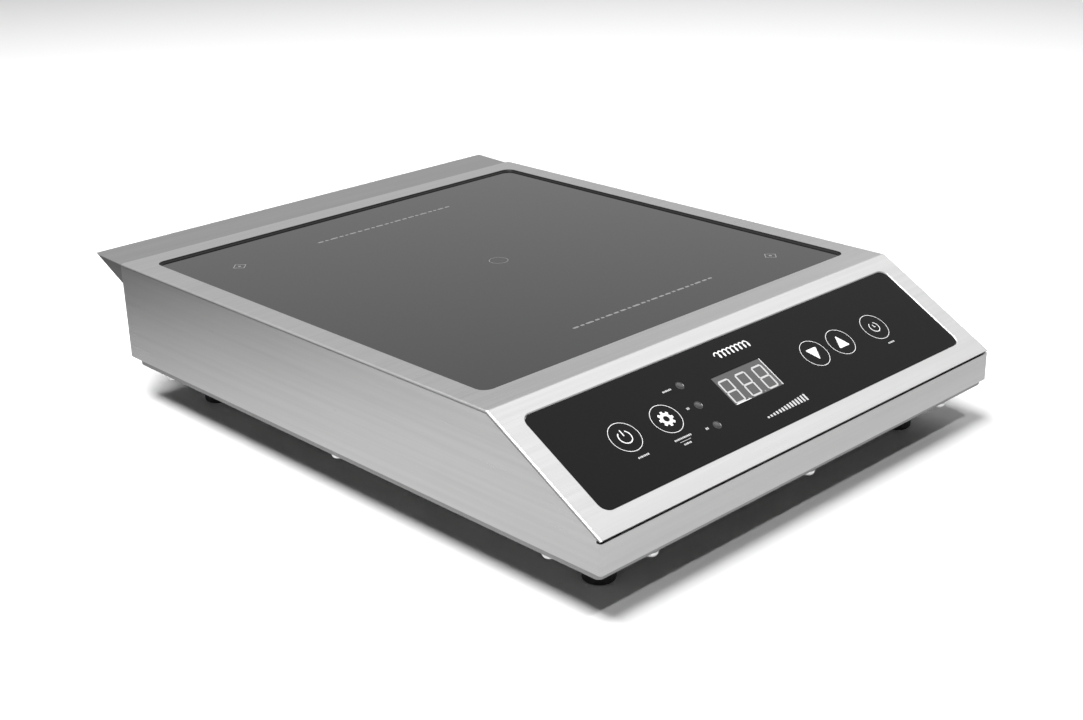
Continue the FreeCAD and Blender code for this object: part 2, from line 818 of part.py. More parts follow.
def glass():
    """The glass plate, ground to a step round its edge so that its middle stands up between the beads."""
    width, depth = f"{OPENING_WIDTH} + 2 * glass_overlap", f"{OPENING_DEPTH} + 2 * glass_overlap"
    corner = "opening_corner + glass_overlap"
    plate = rounded_plate("glass", "0", GLASS_Y, Z_GLASS_UNDER, width, depth, "glass_thick", corner)
    inset = "(bead_width + glass_play)"
    raised = rounded_plate(
        "raised_glass",
        "0",
        GLASS_Y,
        Z_GLASS,
        f"{OPENING_WIDTH} - 2 * {inset}",
        f"{OPENING_DEPTH} - 2 * {inset}",
        "glass_step",
        f"opening_corner - {inset}",
    )
    keep("glass_top", fuse("stepped_glass", plate, raised))
    # the silicone fills the bond line under the sheet and stands as a bead round the opening
    reach = "(glass_overlap - gauge)"
    skirt = rounded_plate(
        "bond",
        "0",
        GLASS_Y,
        Z_GLASS,
        f"{OPENING_WIDTH} + 2 * {reach}",
        f"{OPENING_DEPTH} + 2 * {reach}",
        "bond_line",
        f"opening_corner + {reach}",
    )
    bead = rounded_plate(
        "bead",
        "0",
        GLASS_Y,
        Z_GLASS,
        OPENING_WIDTH,
        OPENING_DEPTH,
        "bond_line + gauge - bead_fall",
        "opening_corner",
    )
    clear = rounded_plate(
        "clear",
        "0",
        GLASS_Y,
        f"{Z_GLASS} - gauge",
        f"{OPENING_WIDTH} - 2 * bead_width",
        f"{OPENING_DEPTH} - 2 * bead_width",
        "5 * gauge",
        "opening_corner - bead_width",
    )
    keep("glass_seal", cut("seal", fuse("seal_blank", skirt, bead), clear))


# ---------------------------------------------------------------- the control panel


def key_spots():
    return [(f"{key}_spot", "key_row") for key in KEYS]


def lamp_spots():
    return [("lamp_column", f"(lamp_first + {step} * lamp_pitch)") for step in (0, 1, 2)]


def panel_film():
    """The printed film, with an opening for each key, and the tinted panes of lamps and display."""
    low = f"panel_start + {PANEL_HEIGHT} / 2"
    width, height = f"{PANEL_WIDTH} - 2 * film_gap", f"{PANEL_HEIGHT} - 2 * film_gap"
    body = rounded_plate(
        "film", "0", low, "-gauge", width, height, "film_thick", "panel_corner - film_gap", on_panel=True
    )
    holes = new_sketch("film_holes", body, at=("0", "0", "-gauge"), on_panel=True)
    for x, v in key_spots():
        circle(holes, x, v, "key_radius + key_gap")
    for x, v in lamp_spots():
        circle(holes, x, v, "lamp_radius")
    rectangle(holes, "display_spot", "display_row", "display_width", "display_height")
    pocket(body, holes, "4 * gauge")
    keep("control_overlay", body)
    window = box(
        "display_pane",
        ("display_width", "display_height", "film_thick"),
        ("display_spot", "display_row", "-gauge"),
        on_panel=True,
    )
    panes = [
        rod(f"lamp_pane_{i}", "lamp_radius", "film_thick", (x, v, "-gauge"), on_panel=True)
        for i, (x, v) in enumerate(lamp_spots())
    ]
    keep("tinted_windows", group("panes", window, *panes))


def panel_backing():
    """The plate bonded behind the case's opening; the film lies on it."""
    body = rounded_plate(
        "backing",
        "0",
        f"panel_start + {PANEL_HEIGHT} / 2",
        "-gauge - backing_thick",
        f"{PANEL_WIDTH} + 2 * backing_margin",
        f"{PANEL_HEIGHT} + 2 * backing_margin",
        "backing_thick",
        "panel_corner",
        on_panel=True,
    )
    holes = new_sketch("backing_holes", body, at=("0", "0", "-gauge"), on_panel=True)
    for x, v in key_spots():
        circle(holes, x, v, "key_radius + key_gap")
    for x, v in lamp_spots():
        circle(holes, x, v, "lamp_radius + backing_play")
    opening = [f"{size} + 2 * backing_play" for size in ("display_width", "display_height")]
    rectangle(holes, "display_spot", "display_row", *opening)
    pocket(body, holes, "4 * backing_thick")
    keep("panel_backplate", body)


def keys():
    """Five keys, each a disc flush with the film whose stem reaches into a switch on the control board."""
    bodies = []
    for key, (x, v) in zip(KEYS, key_spots()):
        disc = rod(f"{key}_disc", "key_radius", "film_thick", (x, v, "-gauge"), on_panel=True)
        stem_low = f"({BOARD_FACE} + switch_height - key_travel)"
        stem_high = f"-gauge - {stem_low}"
        stem = rod(f"{key}_stem", "plunger_radius", stem_high, (x, v, stem_low), on_panel=True)
        keep(f"{key}_key", fuse(f"{key}_button", disc, stem))
        size = ("switch_side", "switch_side", "switch_height")
        case = box(f"{key}_switch", size, (x, v, BOARD_FACE), on_panel=True)
        well = rod(
            f"{key}_well",
            "plunger_radius + key_gap",
            "2 * switch_height",
            (x, v, f"{BOARD_FACE} + switch_height - switch_well"),
            on_panel=True,
        )
        bodies.append(cut(f"{key}_switch_case", case, well))
    keep("key_switches", group("switches", *bodies))


def control_board():
    """The small board under the film, with its posts, lamps and display."""
    mid = f"(panel_start + {PANEL_HEIGHT} / 2)"
    board = box(
        "control_card",
        (CARD_WIDTH, "control_board_height", "board_thick"),
        ("0", mid, f"{BOARD_FACE} - board_thick"),
        on_panel=True,
    )
    half_width, half_height = f"({CARD_WIDTH} / 2 - card_corner)", "(control_board_height / 2 - card_corner)"
    corners = [
        (f"{sx} * {half_width}", f"({mid} + {sv} * {half_height})")
        for sx in (-1, 1)
        for sv in (-1, 1)
    ]
    below = f"{BOARD_FACE} - 2 * board_thick"
    holes = [
        rod(f"card_hole_{i}", "card_hole", "4 * board_thick", (x, v, below), on_panel=True)
        for i, (x, v) in enumerate(corners)
    ]
    keep("control_board", cut("control_card_drilled", board, *holes))
    posts, screws = [], []
    post_height = "display_deep - backing_thick"
    head_z = f"{BOARD_FACE} - board_thick - card_head_height"
    for i, (x, v) in enumerate(corners):
        post = rod(f"post_{i}", "card_post", post_height, (x, v, BOARD_FACE), on_panel=True)
        bore_size = ("card_shank + thread_play", "card_grip + bore_spare")
        bore = rod(f"post_bore_{i}", *bore_size, (x, v, BOARD_FACE), on_panel=True)
        posts.append(cut(f"post_bored_{i}", post, bore))
        head = rod(f"card_screw_head_{i}", "card_head", "card_head_height", (x, v, head_z), on_panel=True)
        shank_height = "card_head_height + board_thick + card_grip"
        shank = rod(f"card_screw_shank_{i}", "card_shank", shank_height, (x, v, head_z), on_panel=True)
        screws.append(fuse(f"card_screw_{i}", head, shank))
    keep("panel_posts", group("posts", *posts))
    keep("panel_screws", group("card_screws", *screws))
    size = ("display_width - 2 * pane_play", "display_height - 2 * pane_play", "display_deep")
    display = box("display_block", size, ("display_spot", "display_row", BOARD_FACE), on_panel=True)
    keep("display_module", display)
    lamps = []
    for i, (x, v) in enumerate(lamp_spots()):
        lens_size = ("lamp_radius - 2 * pane_play", "display_deep - lamp_fall")
        lens = rod(f"lamp_{i}", *lens_size, (x, v, BOARD_FACE), on_panel=True)
        ring_size = ("lamp_radius + lamp_flange", "lamp_flange_thick")
        ring = rod(f"lamp_ring_{i}", *ring_size, (x, v, BOARD_FACE), on_panel=True)
        lamps.append(fuse(f"lamp_body_{i}", lens, ring))
    keep("indicator_lamps", group("lamps", *lamps))


# ---------------------------------------------------------------- the pan, its screws and the feet


FOOT_X, FOOT_FRONT_Y = "(case_width / 2 - foot_inset)", f"({Y_FRONT} + foot_inset)"
FOOT_REAR_Y = f"({Y_REAR} - foot_rear_inset)"
FEET = [
    ("foot_front_left", f"-1 * {FOOT_X}", FOOT_FRONT_Y),
    ("foot_front_right", FOOT_X, FOOT_FRONT_Y),
    ("foot_rear_left", f"-1 * {FOOT_X}", FOOT_REAR_Y),
    ("foot_rear_right", FOOT_X, FOOT_REAR_Y),
]
PAN_WIDTH = "(case_width - 2 * pan_side_inset)"
PAN_DEPTH = "(case_depth - pan_front_inset - pan_rear_inset)"
PAN_Y = f"({Y_FRONT} + pan_front_inset + {PAN_DEPTH} / 2)"
FAN_SCREW_REACH = "(fan_side / 2 - fan_screw_inset)"
FAN_SCREWS = [
    (f"({FAN_X} + {sx} * {FAN_SCREW_REACH})", f"(fan_y + {sy} * {FAN_SCREW_REACH})")
    for sx in (-1, 1)
    for sy in (-1, 1)
]


def base_pan():
    """The shallow tray that closes the case from below, with air slots under the fan and the board."""
    body = new_body("pan")
    outline = new_sketch("pan_outline", body, at=("0", "0", Z_PAN))
    rectangle(outline, "0", PAN_Y, PAN_WIDTH, PAN_DEPTH)
    block = pad(body, outline, "pan_drop")
    corners = fillet(body, block, "2 * bend", lambda m, run: upright(run))
    low = value(Z_PAN)
    fillet(body, corners, "pan_bend", lambda m, run: near(m.z, low))
    tray = new_sketch("pan_tray", body, at=("0", "0", Z_FLOOR))
    rectangle(tray, "0", PAN_Y, f"{PAN_WIDTH} - 2 * gauge", f"{PAN_DEPTH} - 2 * gauge")
    made = body.newObject("PartDesign::Pocket", "pan_tray_pocket")
    made.Profile = tray
    made.Reversed = True
    bind(made, Length="pan_drop")
    DOC.recompute()
    holes = new_sketch("pan_holes", body, at=("0", "0", Z_PAN))
    for x, y in SCREWS_IN_RAIL + SCREWS_IN_COVER:
        circle(holes, x, y, "screw_radius + screw_play")
    for _, x, y in FEET:
        circle(holes, x, y, "foot_bore")
    for x, y in FAN_SCREWS:
        circle(holes, x, y, "fan_screw_radius + axle_play")
    pocket(body, holes, "4 * gauge")
    for name, x, y in (("fan", FAN_X, "fan_y"), ("board", BOARD_X, "board_y")):
        first = f"{x} - slot_pitch * (slot_count - 1) / 2"
        slots = new_sketch(f"{name}_slots", body, at=("0", "0", Z_PAN))
        slot(slots, first, f"{y} - slot_length / 2", f"{y} + slot_length / 2", "slot_width")
        slot_cut = pocket(body, slots, "4 * gauge")
        row_of(body, slot_cut, "X", "slot_pitch", "slot_count")
    keep("base_pan", body)


def pan_screws():
    """Pan-head screws up through the pan, each into a spacer nut under the case's flange."""
    places = [(x, y, Z_PAN) for x, y in SCREWS_IN_RAIL + SCREWS_IN_COVER]
    low = "-screw_head_height"
    outline = [
        ("0", low),
        ("screw_head * 0.55", low),
        ("screw_head * 0.9", f"{low} * 0.75"),
        ("screw_head", f"{low} * 0.4"),
        ("screw_head", "0"),
        ("screw_radius", "0"),
        ("screw_radius", "pan_drop + gauge + screw_end"),
        ("0", "pan_drop + gauge + screw_end"),
    ]
    keep("pan_screws", turned("pan_screw", outline, places))
    nuts = [
        ("screw_radius + thread_play", "gauge"),
        ("nut_radius", "gauge"),
        ("nut_radius", "pan_drop"),
        ("screw_radius + thread_play", "pan_drop"),
    ]
    keep("spacer_nuts", turned("spacer_nut", nuts, places))


def feet():
    """Tapered rubber feet, each bored for a screw whose head sits up inside it."""
    outline = [
        ("foot_bore", "foot_sink"),
        ("foot_sink_radius", "foot_sink"),
        ("foot_sink_radius", "0"),
        ("foot_radius - foot_edge", "0"),
        ("foot_radius", "foot_edge"),
        ("foot_top_radius", f"{Z_PAN} - foot_skirt"),
        ("foot_top_radius", Z_PAN),
        ("foot_bore", Z_PAN),
    ]
    for name, x, y in FEET:
        keep(name, turned(f"{name}_rubber", outline, [(x, y, "0")]))
    head_low = "foot_sink - foot_head_height"
    screw = [
        ("0", head_low),
        ("foot_head - foot_head_edge", head_low),
        ("foot_head", f"{head_low} + foot_head_edge"),
        ("foot_head", "foot_sink"),
        ("foot_shank", "foot_sink"),
        ("foot_shank", f"{Z_FLOOR} + foot_thread"),
        ("0", f"{Z_FLOOR} + foot_thread"),
    ]
    keep("foot_screws", turned("foot_screw", screw, [(x, y, "0") for _, x, y in FEET]))
    nuts = []
    for i, (_, x, y) in enumerate(FEET):
        nut = DOC.addObject("Part::Prism", f"foot_nut_blank_{i}")
        nut.Polygon = 6
        bind(nut, Circumradius="foot_nut", Height="foot_nut_height", Placement=spot(x, y, Z_FLOOR))
        through = (x, y, f"{Z_FLOOR} - foot_nut_height / 2")
        hole = rod(f"foot_nut_hole_{i}", "foot_shank + thread_play", "2 * foot_nut_height", through)
        nuts.append(cut(f"foot_nut_{i}", nut, hole))
    keep("foot_nuts", group("foot_nut_set", *nuts))


def cord_gland():
    """The nylon inlet that the mains lead passes through, and the nut that holds it inside."""
    at = ("gland_spot", Y_REAR, "stand_height + gland_rise")
    outline = [
        ("gland_bore", "-gauge - gland_inside"),
        ("gland_barrel", "-gauge - gland_inside"),
        ("gland_barrel", "0"),
        ("gland_flange", "0"),
        ("gland_flange", "gland_flange_thick"),
        ("gland_dome", "gland_flange_thick + gland_step"),
        ("gland_dome", "gland_dome_end"),
        ("gland_dome - gland_taper", "gland_length"),
        ("gland_bore", "gland_length"),
    ]
    keep("cord_gland", turned("gland", outline, [at], turn=ALONG_REAR))
    nut = DOC.addObject("Part::Prism", "gland_nut_blank")
    nut.Polygon = 6
    start = f"{Y_REAR} - gauge - gland_nut_thick"
    place = spot("gland_spot", start, "stand_height + gland_rise", turn=ALONG_REAR)
    bind(nut, Circumradius="gland_barrel + gland_nut_reach", Height="gland_nut_thick", Placement=place)
    hole_at = ("gland_spot", f"{start} - gauge", "stand_height + gland_rise")
    hole_size = ("gland_barrel + thread_play", "gland_nut_thick + 2 * gauge")
    hole = rod("gland_nut_hole", *hole_size, hole_at, turn=ALONG_REAR)
    keep("gland_nut", cut("gland_nut_bored", nut, hole))


def rating_plate():
    """A blank metal plate on the pan's underside, where the ratings would be."""
    at = (BOARD_X, f"{PAN_Y} + {PAN_DEPTH} / 2 - plate_from_rear", f"{Z_PAN} - plate_thick")
    keep("rating_plate", box("plate", ("plate_width", "plate_depth", "plate_thick"), at))


# ---------------------------------------------------------------- the coil and its sensor


ARM_ENDS = [
    (f"{sx} * arm_reach / sqrt(2)", f"({GLASS_Y} + {sy} * arm_reach / sqrt(2))")
    for sx in (-1, 1)
    for sy in (-1, 1)
]
LEADS = [
    (f"({BOARD_X} - lead_first)", "(board_y - lead_first_y)", Z_BOARD_TOP),
    (f"({BOARD_X} - lead_second)", "(board_y - lead_second_y)", Z_BOARD_TOP),
]


def coil():
    """The flat winding and its two leads, the card over it, the former under it and its ferrite bars."""
    card = rod("mica_disc", "former_radius", "mica_thick", ("0", GLASS_Y, f"{Z_GLASS_UNDER} - mica_thick"))
    eye_at = ("0", GLASS_Y, f"{Z_GLASS_UNDER} - 2 * mica_thick")
    eye = rod("mica_eye", "former_hub", "4 * mica_thick", eye_at)
    keep("mica_sheet", cut("mica_ring", card, eye))

    turns = int(value("coil_turns"))
    step = "((coil_outer - coil_inner) / coil_turns)"
    outline = [("coil_inner", "0"), ("coil_outer", "0")]
    for turn in range(turns):
        outline.append((f"coil_outer - {step} * {turn}", "coil_thick - coil_groove"))
        outline.append((f"coil_outer - {step} * {turn + 0.5}", "coil_thick"))
    outline.append(("coil_inner", "coil_thick - coil_groove"))
    winding = turned("winding", outline, [("0", GLASS_Y, Z_COIL)])
    drop = f"{Z_COIL} - {Z_BOARD_TOP}"
    leads = [rod(f"coil_lead_{i}", "lead_radius", drop, at) for i, at in enumerate(LEADS)]
    keep("induction_coil", fuse("coil_and_leads", winding, *leads))

    plate = rod("former_plate", "former_radius", "former_thick", ("0", GLASS_Y, Z_FORMER))
    wall = rod("former_wall", "former_radius", "coil_thick - former_rim_fall", ("0", GLASS_Y, Z_COIL))
    wall_in = rod("former_wall_inside", "former_radius - former_rim", "coil_thick", ("0", GLASS_Y, Z_COIL))
    arms = []
    for i, angle in enumerate((45, 135)):
        arm = DOC.addObject("Part::Box", f"former_arm_{i}")
        bind(arm, Length="2 * arm_reach + arm_width", Width="arm_width", Height="former_thick")
        start = "(arm_reach + arm_width / 2)"
        x = f"-{start} * cos({angle}) + arm_width / 2 * sin({angle})"
        y = f"{GLASS_Y} - {start} * sin({angle}) - arm_width / 2 * cos({angle})"
        bind(arm, Placement=spot(x, y, Z_FORMER, turn=f"rotation(vector(0; 0; 1); {angle})"))
        arms.append(arm)
    under = f"{Z_FORMER} - former_thick"
    hub = rod("former_hub_hole", "former_hub", "4 * former_thick", ("0", GLASS_Y, under))
    ends = [
        rod(f"former_hole_{i}", "screw_radius + screw_play", "4 * former_thick", (x, y, under))
        for i, (x, y) in enumerate(ARM_ENDS)
    ]
    notches = [
        rod(f"former_lead_hole_{i}", "lead_radius + lead_play", "4 * former_thick", (x, y, under))
        for i, (x, y, _) in enumerate(LEADS)
    ]
    blank = fuse("former_blank", plate, cut("former_rim", wall, wall_in), *arms)
    keep("coil_former", cut("former", blank, hub, *ends, *notches))

    bars = []
    count = int(value("ferrite_count"))
    for i in range(count):
        angle = 360 / count * (i + 0.5)
        bar = DOC.addObject("Part::Box", f"ferrite_{i}")
        bind(bar, Length="ferrite_length", Width="ferrite_width", Height="ferrite_thick")
        x = f"ferrite_start * cos({angle}) + ferrite_width / 2 * sin({angle})"
        y = f"{GLASS_Y} + ferrite_start * sin({angle}) - ferrite_width / 2 * cos({angle})"
        turn = f"rotation(vector(0; 0; 1); {angle})"
        bind(bar, Placement=spot(x, y, f"{Z_FORMER} - ferrite_thick", turn=turn))
        bars.append(bar)
    keep("ferrite_bars", group("ferrites", *bars))

    pillars, screws = [], []
    for i, (x, y) in enumerate(ARM_ENDS):
        tall = f"{Z_FORMER} - {Z_FLOOR}"
        pillar = rod(f"pillar_{i}", "pillar_radius", tall, (x, y, Z_FLOOR))
        bore_size = ("screw_radius + thread_play", "coil_thread + bore_spare")
        bore = rod(f"pillar_bore_{i}", *bore_size, (x, y, f"{Z_FORMER} - coil_thread - bore_spare"))
        pillars.append(cut(f"pillar_bored_{i}", pillar, bore))
        head = rod(f"coil_screw_head_{i}", "screw_head", "coil_head_height", (x, y, Z_COIL))
        shank_at = (x, y, f"{Z_FORMER} - coil_thread")
        shank = rod(f"coil_screw_shank_{i}", "screw_radius", "former_thick + coil_thread", shank_at)
        screws.append(fuse(f"coil_screw_{i}", head, shank))
    keep("coil_pillars", group("pillars", *pillars))
    keep("coil_screws", group("coil_screw_set", *screws))


def sensor():
    """The temperature sensor, pressed to the glass from below by a spring in its holder."""
    outline = [
        ("0", "-1 * holder_deep"),
        ("former_hub + holder_flange", "-1 * holder_deep"),
        ("former_hub + holder_flange", "0"),
        ("former_hub - holder_play", "0"),
        ("former_hub - holder_play", "holder_rise"),
        ("holder_bore", "holder_rise"),
        ("holder_bore", "holder_floor - holder_deep"),
        ("0", "holder_floor - holder_deep"),
    ]
    keep("sensor_holder", turned("holder", outline, [("0", GLASS_Y, Z_FORMER)]))
    pad_low = f"({Z_GLASS_UNDER} - sensor_thick)"
    keep("temperature_sensor", rod("sensor_pad", "sensor_radius", "sensor_thick", ("0", GLASS_Y, pad_low)))
    body = new_body("spring")
    low = f"({Z_FORMER} - holder_deep + holder_floor + spring_wire)"
    high = f"({pad_low} - spring_wire - spring_play)"
    section = new_sketch("spring_section", body, at=("0", GLASS_Y, low), turn=FACING_FRONT)
    circle(section, "spring_radius", "0", "spring_wire")
    spring = body.newObject("PartDesign::AdditiveHelix", "spring_helix")
    spring.Profile = section
    spring.ReferenceAxis = (section, ["V_Axis"])
    spring.Mode = "pitch-height-angle"
    bind(spring, Height=f"{high} - {low}", Pitch=f"({high} - {low}) / spring_turns")
    DOC.recompute()
    keep("sensor_spring", body)


# ---------------------------------------------------------------- the fan


def fan():
    """An axial fan over the pan's slots: frame, bearings, wound stator, turning rotor and axle."""
    x, y = FAN_X, "fan_y"
    body = rounded_plate("fan_case", x, y, Z_FLOOR, "fan_side", "fan_side", "fan_thick", "fan_corner")
    through = new_sketch("fan_tunnel", body, at=("0", "0", Z_FLOOR))
    circle(through, x, y, "fan_bore")
    for hole_x, hole_y in FAN_SCREWS:
        circle(through, hole_x, hole_y, "fan_screw_radius + fan_screw_play")
    pocket(body, through, "3 * fan_thick")
    struts = []
    reach = "(fan_bore + strut_width / 8)"
    for i, angle in enumerate((20, 110)):
        bar = DOC.addObject("Part::Box", f"fan_strut_{i}")
        bind(bar, Length=f"2 * {reach}", Width="strut_width", Height="fan_floor")
        bar_x = f"{x} - {reach} * cos({angle}) + strut_width / 2 * sin({angle})"
        bar_y = f"{y} - {reach} * sin({angle}) - strut_width / 2 * cos({angle})"
        bind(bar, Placement=spot(bar_x, bar_y, Z_FLOOR, turn=f"rotation(vector(0; 0; 1); {angle})"))
        struts.append(bar)
    plate = rod("fan_plate", "fan_hub - cup_wall / 2", "fan_floor", (x, y, Z_FLOOR))
    tube = rod("fan_tube", "tube_radius", "tube_height", (x, y, Z_FLOOR))
    tube_bore = rod("fan_tube_bore", "tube_bore", "tube_height", (x, y, f"{Z_FLOOR} + fan_floor / 2"))
    keep("fan_frame", cut("fan_frame_bored", fuse("fan_frame_blank", body, *struts, plate, tube), tube_bore))

    sleeves = []
    for i, low in enumerate(("axle_start", "upper_sleeve")):
        sleeve = rod(f"sleeve_{i}", "tube_bore", "sleeve_long", (x, y, f"{Z_FLOOR} + {low}"))
        bore_at = (x, y, f"{Z_FLOOR} + {low} - sleeve_long / 4")
        bore = rod(f"sleeve_bore_{i}", "fan_axle + axle_play", "1.5 * sleeve_long", bore_at)
        sleeves.append(cut(f"bearing_{i}", sleeve, bore))
    keep("fan_bearings", group("bearings", *sleeves))
    stator_radius = "fan_hub - cup_wall - stator_gap"
    stator = rod("stator_disc", stator_radius, "stator_thick", (x, y, f"{Z_FLOOR} + stator_start"))
    bore_at = (x, y, f"{Z_FLOOR} + stator_start - gauge")
    stator_bore = rod("stator_bore", "tube_radius + axle_play", "stator_thick + 2 * gauge", bore_at)
    keep("fan_stator", cut("stator", stator, stator_bore))
    keep("fan_axle", rod("axle", "fan_axle", "axle_long", (x, y, f"{Z_FLOOR} + axle_start")))

    cup_at = (x, y, f"{Z_FLOOR} + cup_start")
    cup = rod("fan_cup", "fan_hub", "cup_height", cup_at)
    hollow = rod("fan_cup_hollow", "fan_hub - cup_wall", "cup_height - cup_wall", cup_at)
    shell = cut("fan_cup_shell", cup, hollow)
    blades = []
    count = int(value("blade_count"))
    root, tip = value("fan_hub - cup_wall / 2"), value("fan_bore - fan_tip_gap")
    thick, chord = value("blade_thick"), value("blade_chord")
    centre = Vector(value(x), value(y), value(f"{Z_FLOOR} + blade_rise"))
    foot = centre - Vector(0, 0, chord)
    swept = Part.makeCylinder(tip, 2 * chord, foot).cut(Part.makeCylinder(root, 2 * chord, foot))
    for i in range(count):
        plate = Part.makeBox(tip, chord, thick, Vector(root / 2, -chord / 2, -thick / 2))
        plate.rotate(Vector(), Vector(1, 0, 0), value("blade_pitch"))
        plate.rotate(Vector(), Vector(0, 0, 1), 360 / count * i)
        plate.translate(centre)
        made = DOC.addObject("Part::Feature", f"blade_{i}")
        made.Shape = plate.common(swept)
        blades.append(made)
    keep("fan_rotor", fuse("rotor", shell, *blades))

    screws = []
    for i, at in enumerate(FAN_SCREWS):
        head = rod(f"fan_screw_head_{i}", "fan_head", "fan_head_height", (*at, f"{Z_FLOOR} + fan_thick"))
        shank = rod(f"fan_screw_shank_{i}", "fan_screw_radius", "fan_thick + gauge", (*at, Z_PAN))
        screws.append(fuse(f"fan_screw_{i}", head, shank))
    keep("fan_screws", group("fan_screw_set", *screws))


# ---------------------------------------------------------------- the power electronics


def on_board(x, y):
    """A place on the power board, from its middle."""
    return f"({BOARD_X} + {x})", f"(board_y + {y})", Z_BOARD_TOP


def from_right(inset):
    """A distance to the right of the board's middle, given from its right edge."""
    return f"({BOARD_WIDTH} / 2 - {inset})"


def power_board():
    """The main board on its posts."""
    card = box("power_card", (BOARD_WIDTH, "board_depth", "board_thick"), (BOARD_X, "board_y", Z_BOARD))
    half_width, half_depth = f"({BOARD_WIDTH} / 2 - board_corner)", "(board_depth / 2 - board_corner)"
    corners = [
        (f"({BOARD_X} + {sx} * {half_width})", f"(board_y + {sy} * {half_depth})")
        for sx in (-1, 1)
        for sy in (-1, 1)
    ]
    holes = [
        rod(f"power_hole_{i}", "board_hole", "3 * board_thick", (x, y, f"{Z_BOARD} - board_thick"))
        for i, (x, y) in enumerate(corners)
    ]
    keep("power_board", cut("power_card_drilled", card, *holes))
    posts, screws = [], []
    for i, (x, y) in enumerate(corners):
        post = rod(f"board_post_{i}", "board_post", "board_rise", (x, y, Z_FLOOR))
        bore_deep = "(board_grip + bore_spare / 2)"
        bore_at = (x, y, f"{Z_BOARD} - {bore_deep}")
        bore = rod(f"board_post_bore_{i}", "board_shank + thread_play", bore_deep, bore_at)
        posts.append(cut(f"board_post_bored_{i}", post, bore))
        head = rod(f"board_screw_head_{i}", "board_head", "board_head_height", (x, y, Z_BOARD_TOP))
        shank_at = (x, y, f"{Z_BOARD} - board_grip")
        shank = rod(f"board_screw_shank_{i}", "board_shank", "board_thick + board_grip", shank_at)
        screws.append(fuse(f"board_screw_{i}", head, shank))
    keep("board_posts", group("board_post_set", *posts))
    keep("board_screws", group("board_screw_set", *screws))


SINK_X = f"-{BOARD_WIDTH} / 2 + sink_margin + sink_width / 2"
SINK_Y = "board_depth / 2 - sink_depth / 2 - sink_from_rear"
CHIP_X = f"{SINK_X} + sink_width / 2 + chip_gap + chip_thick / 2"


def heat_sink():
    """A comb of aluminium fins."""
    body = new_body("sink")
    x, y, z = on_board(SINK_X, SINK_Y)
    base = new_sketch("sink_base_outline", body, at=("0", "0", z))
    rectangle(base, x, y, "sink_width", "sink_depth")
    pad(body, base, "sink_base")
    fin = new_sketch("sink_fin", body, at=("0", "0", f"{z} + sink_base"))
    rectangle(fin, f"{x} - sink_width / 2 + fin_thick / 2", y, "fin_thick", "sink_depth")
    fin_pad = pad(body, fin, "sink_height - sink_base")
    row_of(body, fin_pad, "X", "fin_pitch", "floor((sink_width - fin_thick) / fin_pitch) + 1")
    keep("heat_sink", body)


def chip(name, x, y, width, height, legs):
    """A flat power device standing on its legs beside the heat sink."""
    at_x, at_y, z = on_board(x, y)
    case = box(f"{name}_case", ("chip_thick", width, height), (at_x, at_y, f"{z} + chip_lift"))
    size = ("leg_thick", "leg_width", "chip_lift")
    pins = [
        box(f"{name}_leg_{i}", size, (at_x, f"{at_y} + {i - (legs - 1) / 2} * leg_pitch", z))
        for i in range(legs)
    ]
    return fuse(name, case, *pins)


def components():
    """The larger components on the power board."""
    keep("power_transistor", chip("igbt", CHIP_X, "18", "16", "21", 3))
    keep("bridge_rectifier", chip("bridge", CHIP_X, "48", "28", "20", 4))
    x, y, z = on_board(from_right(64), "50")
    keep("resonant_capacitor", box("film_block", ("42", "20", "28"), (x, y, z)))
    x, y, z = on_board(from_right(64), "16")
    keep("filter_capacitor", box("filter_block", ("38", "17", "25"), (x, y, z)))
    x, y, z = on_board(from_right(24), "34")
    ring = DOC.addObject("Part::Torus", "choke_ring")
    bind(ring, Radius1="choke_radius", Radius2="choke_wire", Placement=spot(x, y, f"{z} + choke_wire"))
    keep("choke_coil", ring)
    x, y, z = on_board(from_right(24), "-4")
    keep("smoothing_capacitor", rod("can", "can_radius", "can_height", (x, y, z)))
    x, y, z = on_board(from_right(68), "-30")
    core = box("transformer_core", ("26", "20", "8"), (x, y, f"{z} + core_lift"))
    bobbin = box("transformer_bobbin", ("18", "24", "18"), (x, y, z))
    keep("supply_transformer", fuse("transformer", core, bobbin))
    x, y, z = on_board(from_right(22), "64")
    block = box("terminal_body", ("36", "13", "13"), (x, y, z))
    well = ("well_radius", "2 * well_floor")
    wells = [
        rod(f"terminal_well_{i}", *well, (f"{x} + {i - 1} * well_pitch", y, f"{z} + well_floor"))
        for i in range(3)
    ]
    keep("mains_terminals", cut("terminals", block, *wells))
    x, y, z = on_board(from_right(30), "-40")
    lengthwise = "rotation(vector(0; 1; 0); 90)"
    high = f"{z} + fuse_rise"
    tube = rod("fuse_glass", "fuse_radius", "fuse_long", (f"{x} - fuse_long / 2", y, high), turn=lengthwise)
    cap_starts = (f"{x} - fuse_long / 2 - fuse_cap_long", f"{x} + fuse_long / 2")
    caps = [
        rod(f"fuse_cap_{i}", "fuse_cap", "fuse_cap_long", (start, y, high), turn=lengthwise)
        for i, start in enumerate(cap_starts)
    ]
    clips = [
        box(f"fuse_clip_{i}", ("3", "7", "clip_height"), (f"{start} + fuse_cap_long / 2", y, z))
        for i, start in enumerate(cap_starts)
    ]
    keep("mains_fuse", group("fuse", tube, *caps, *clips))


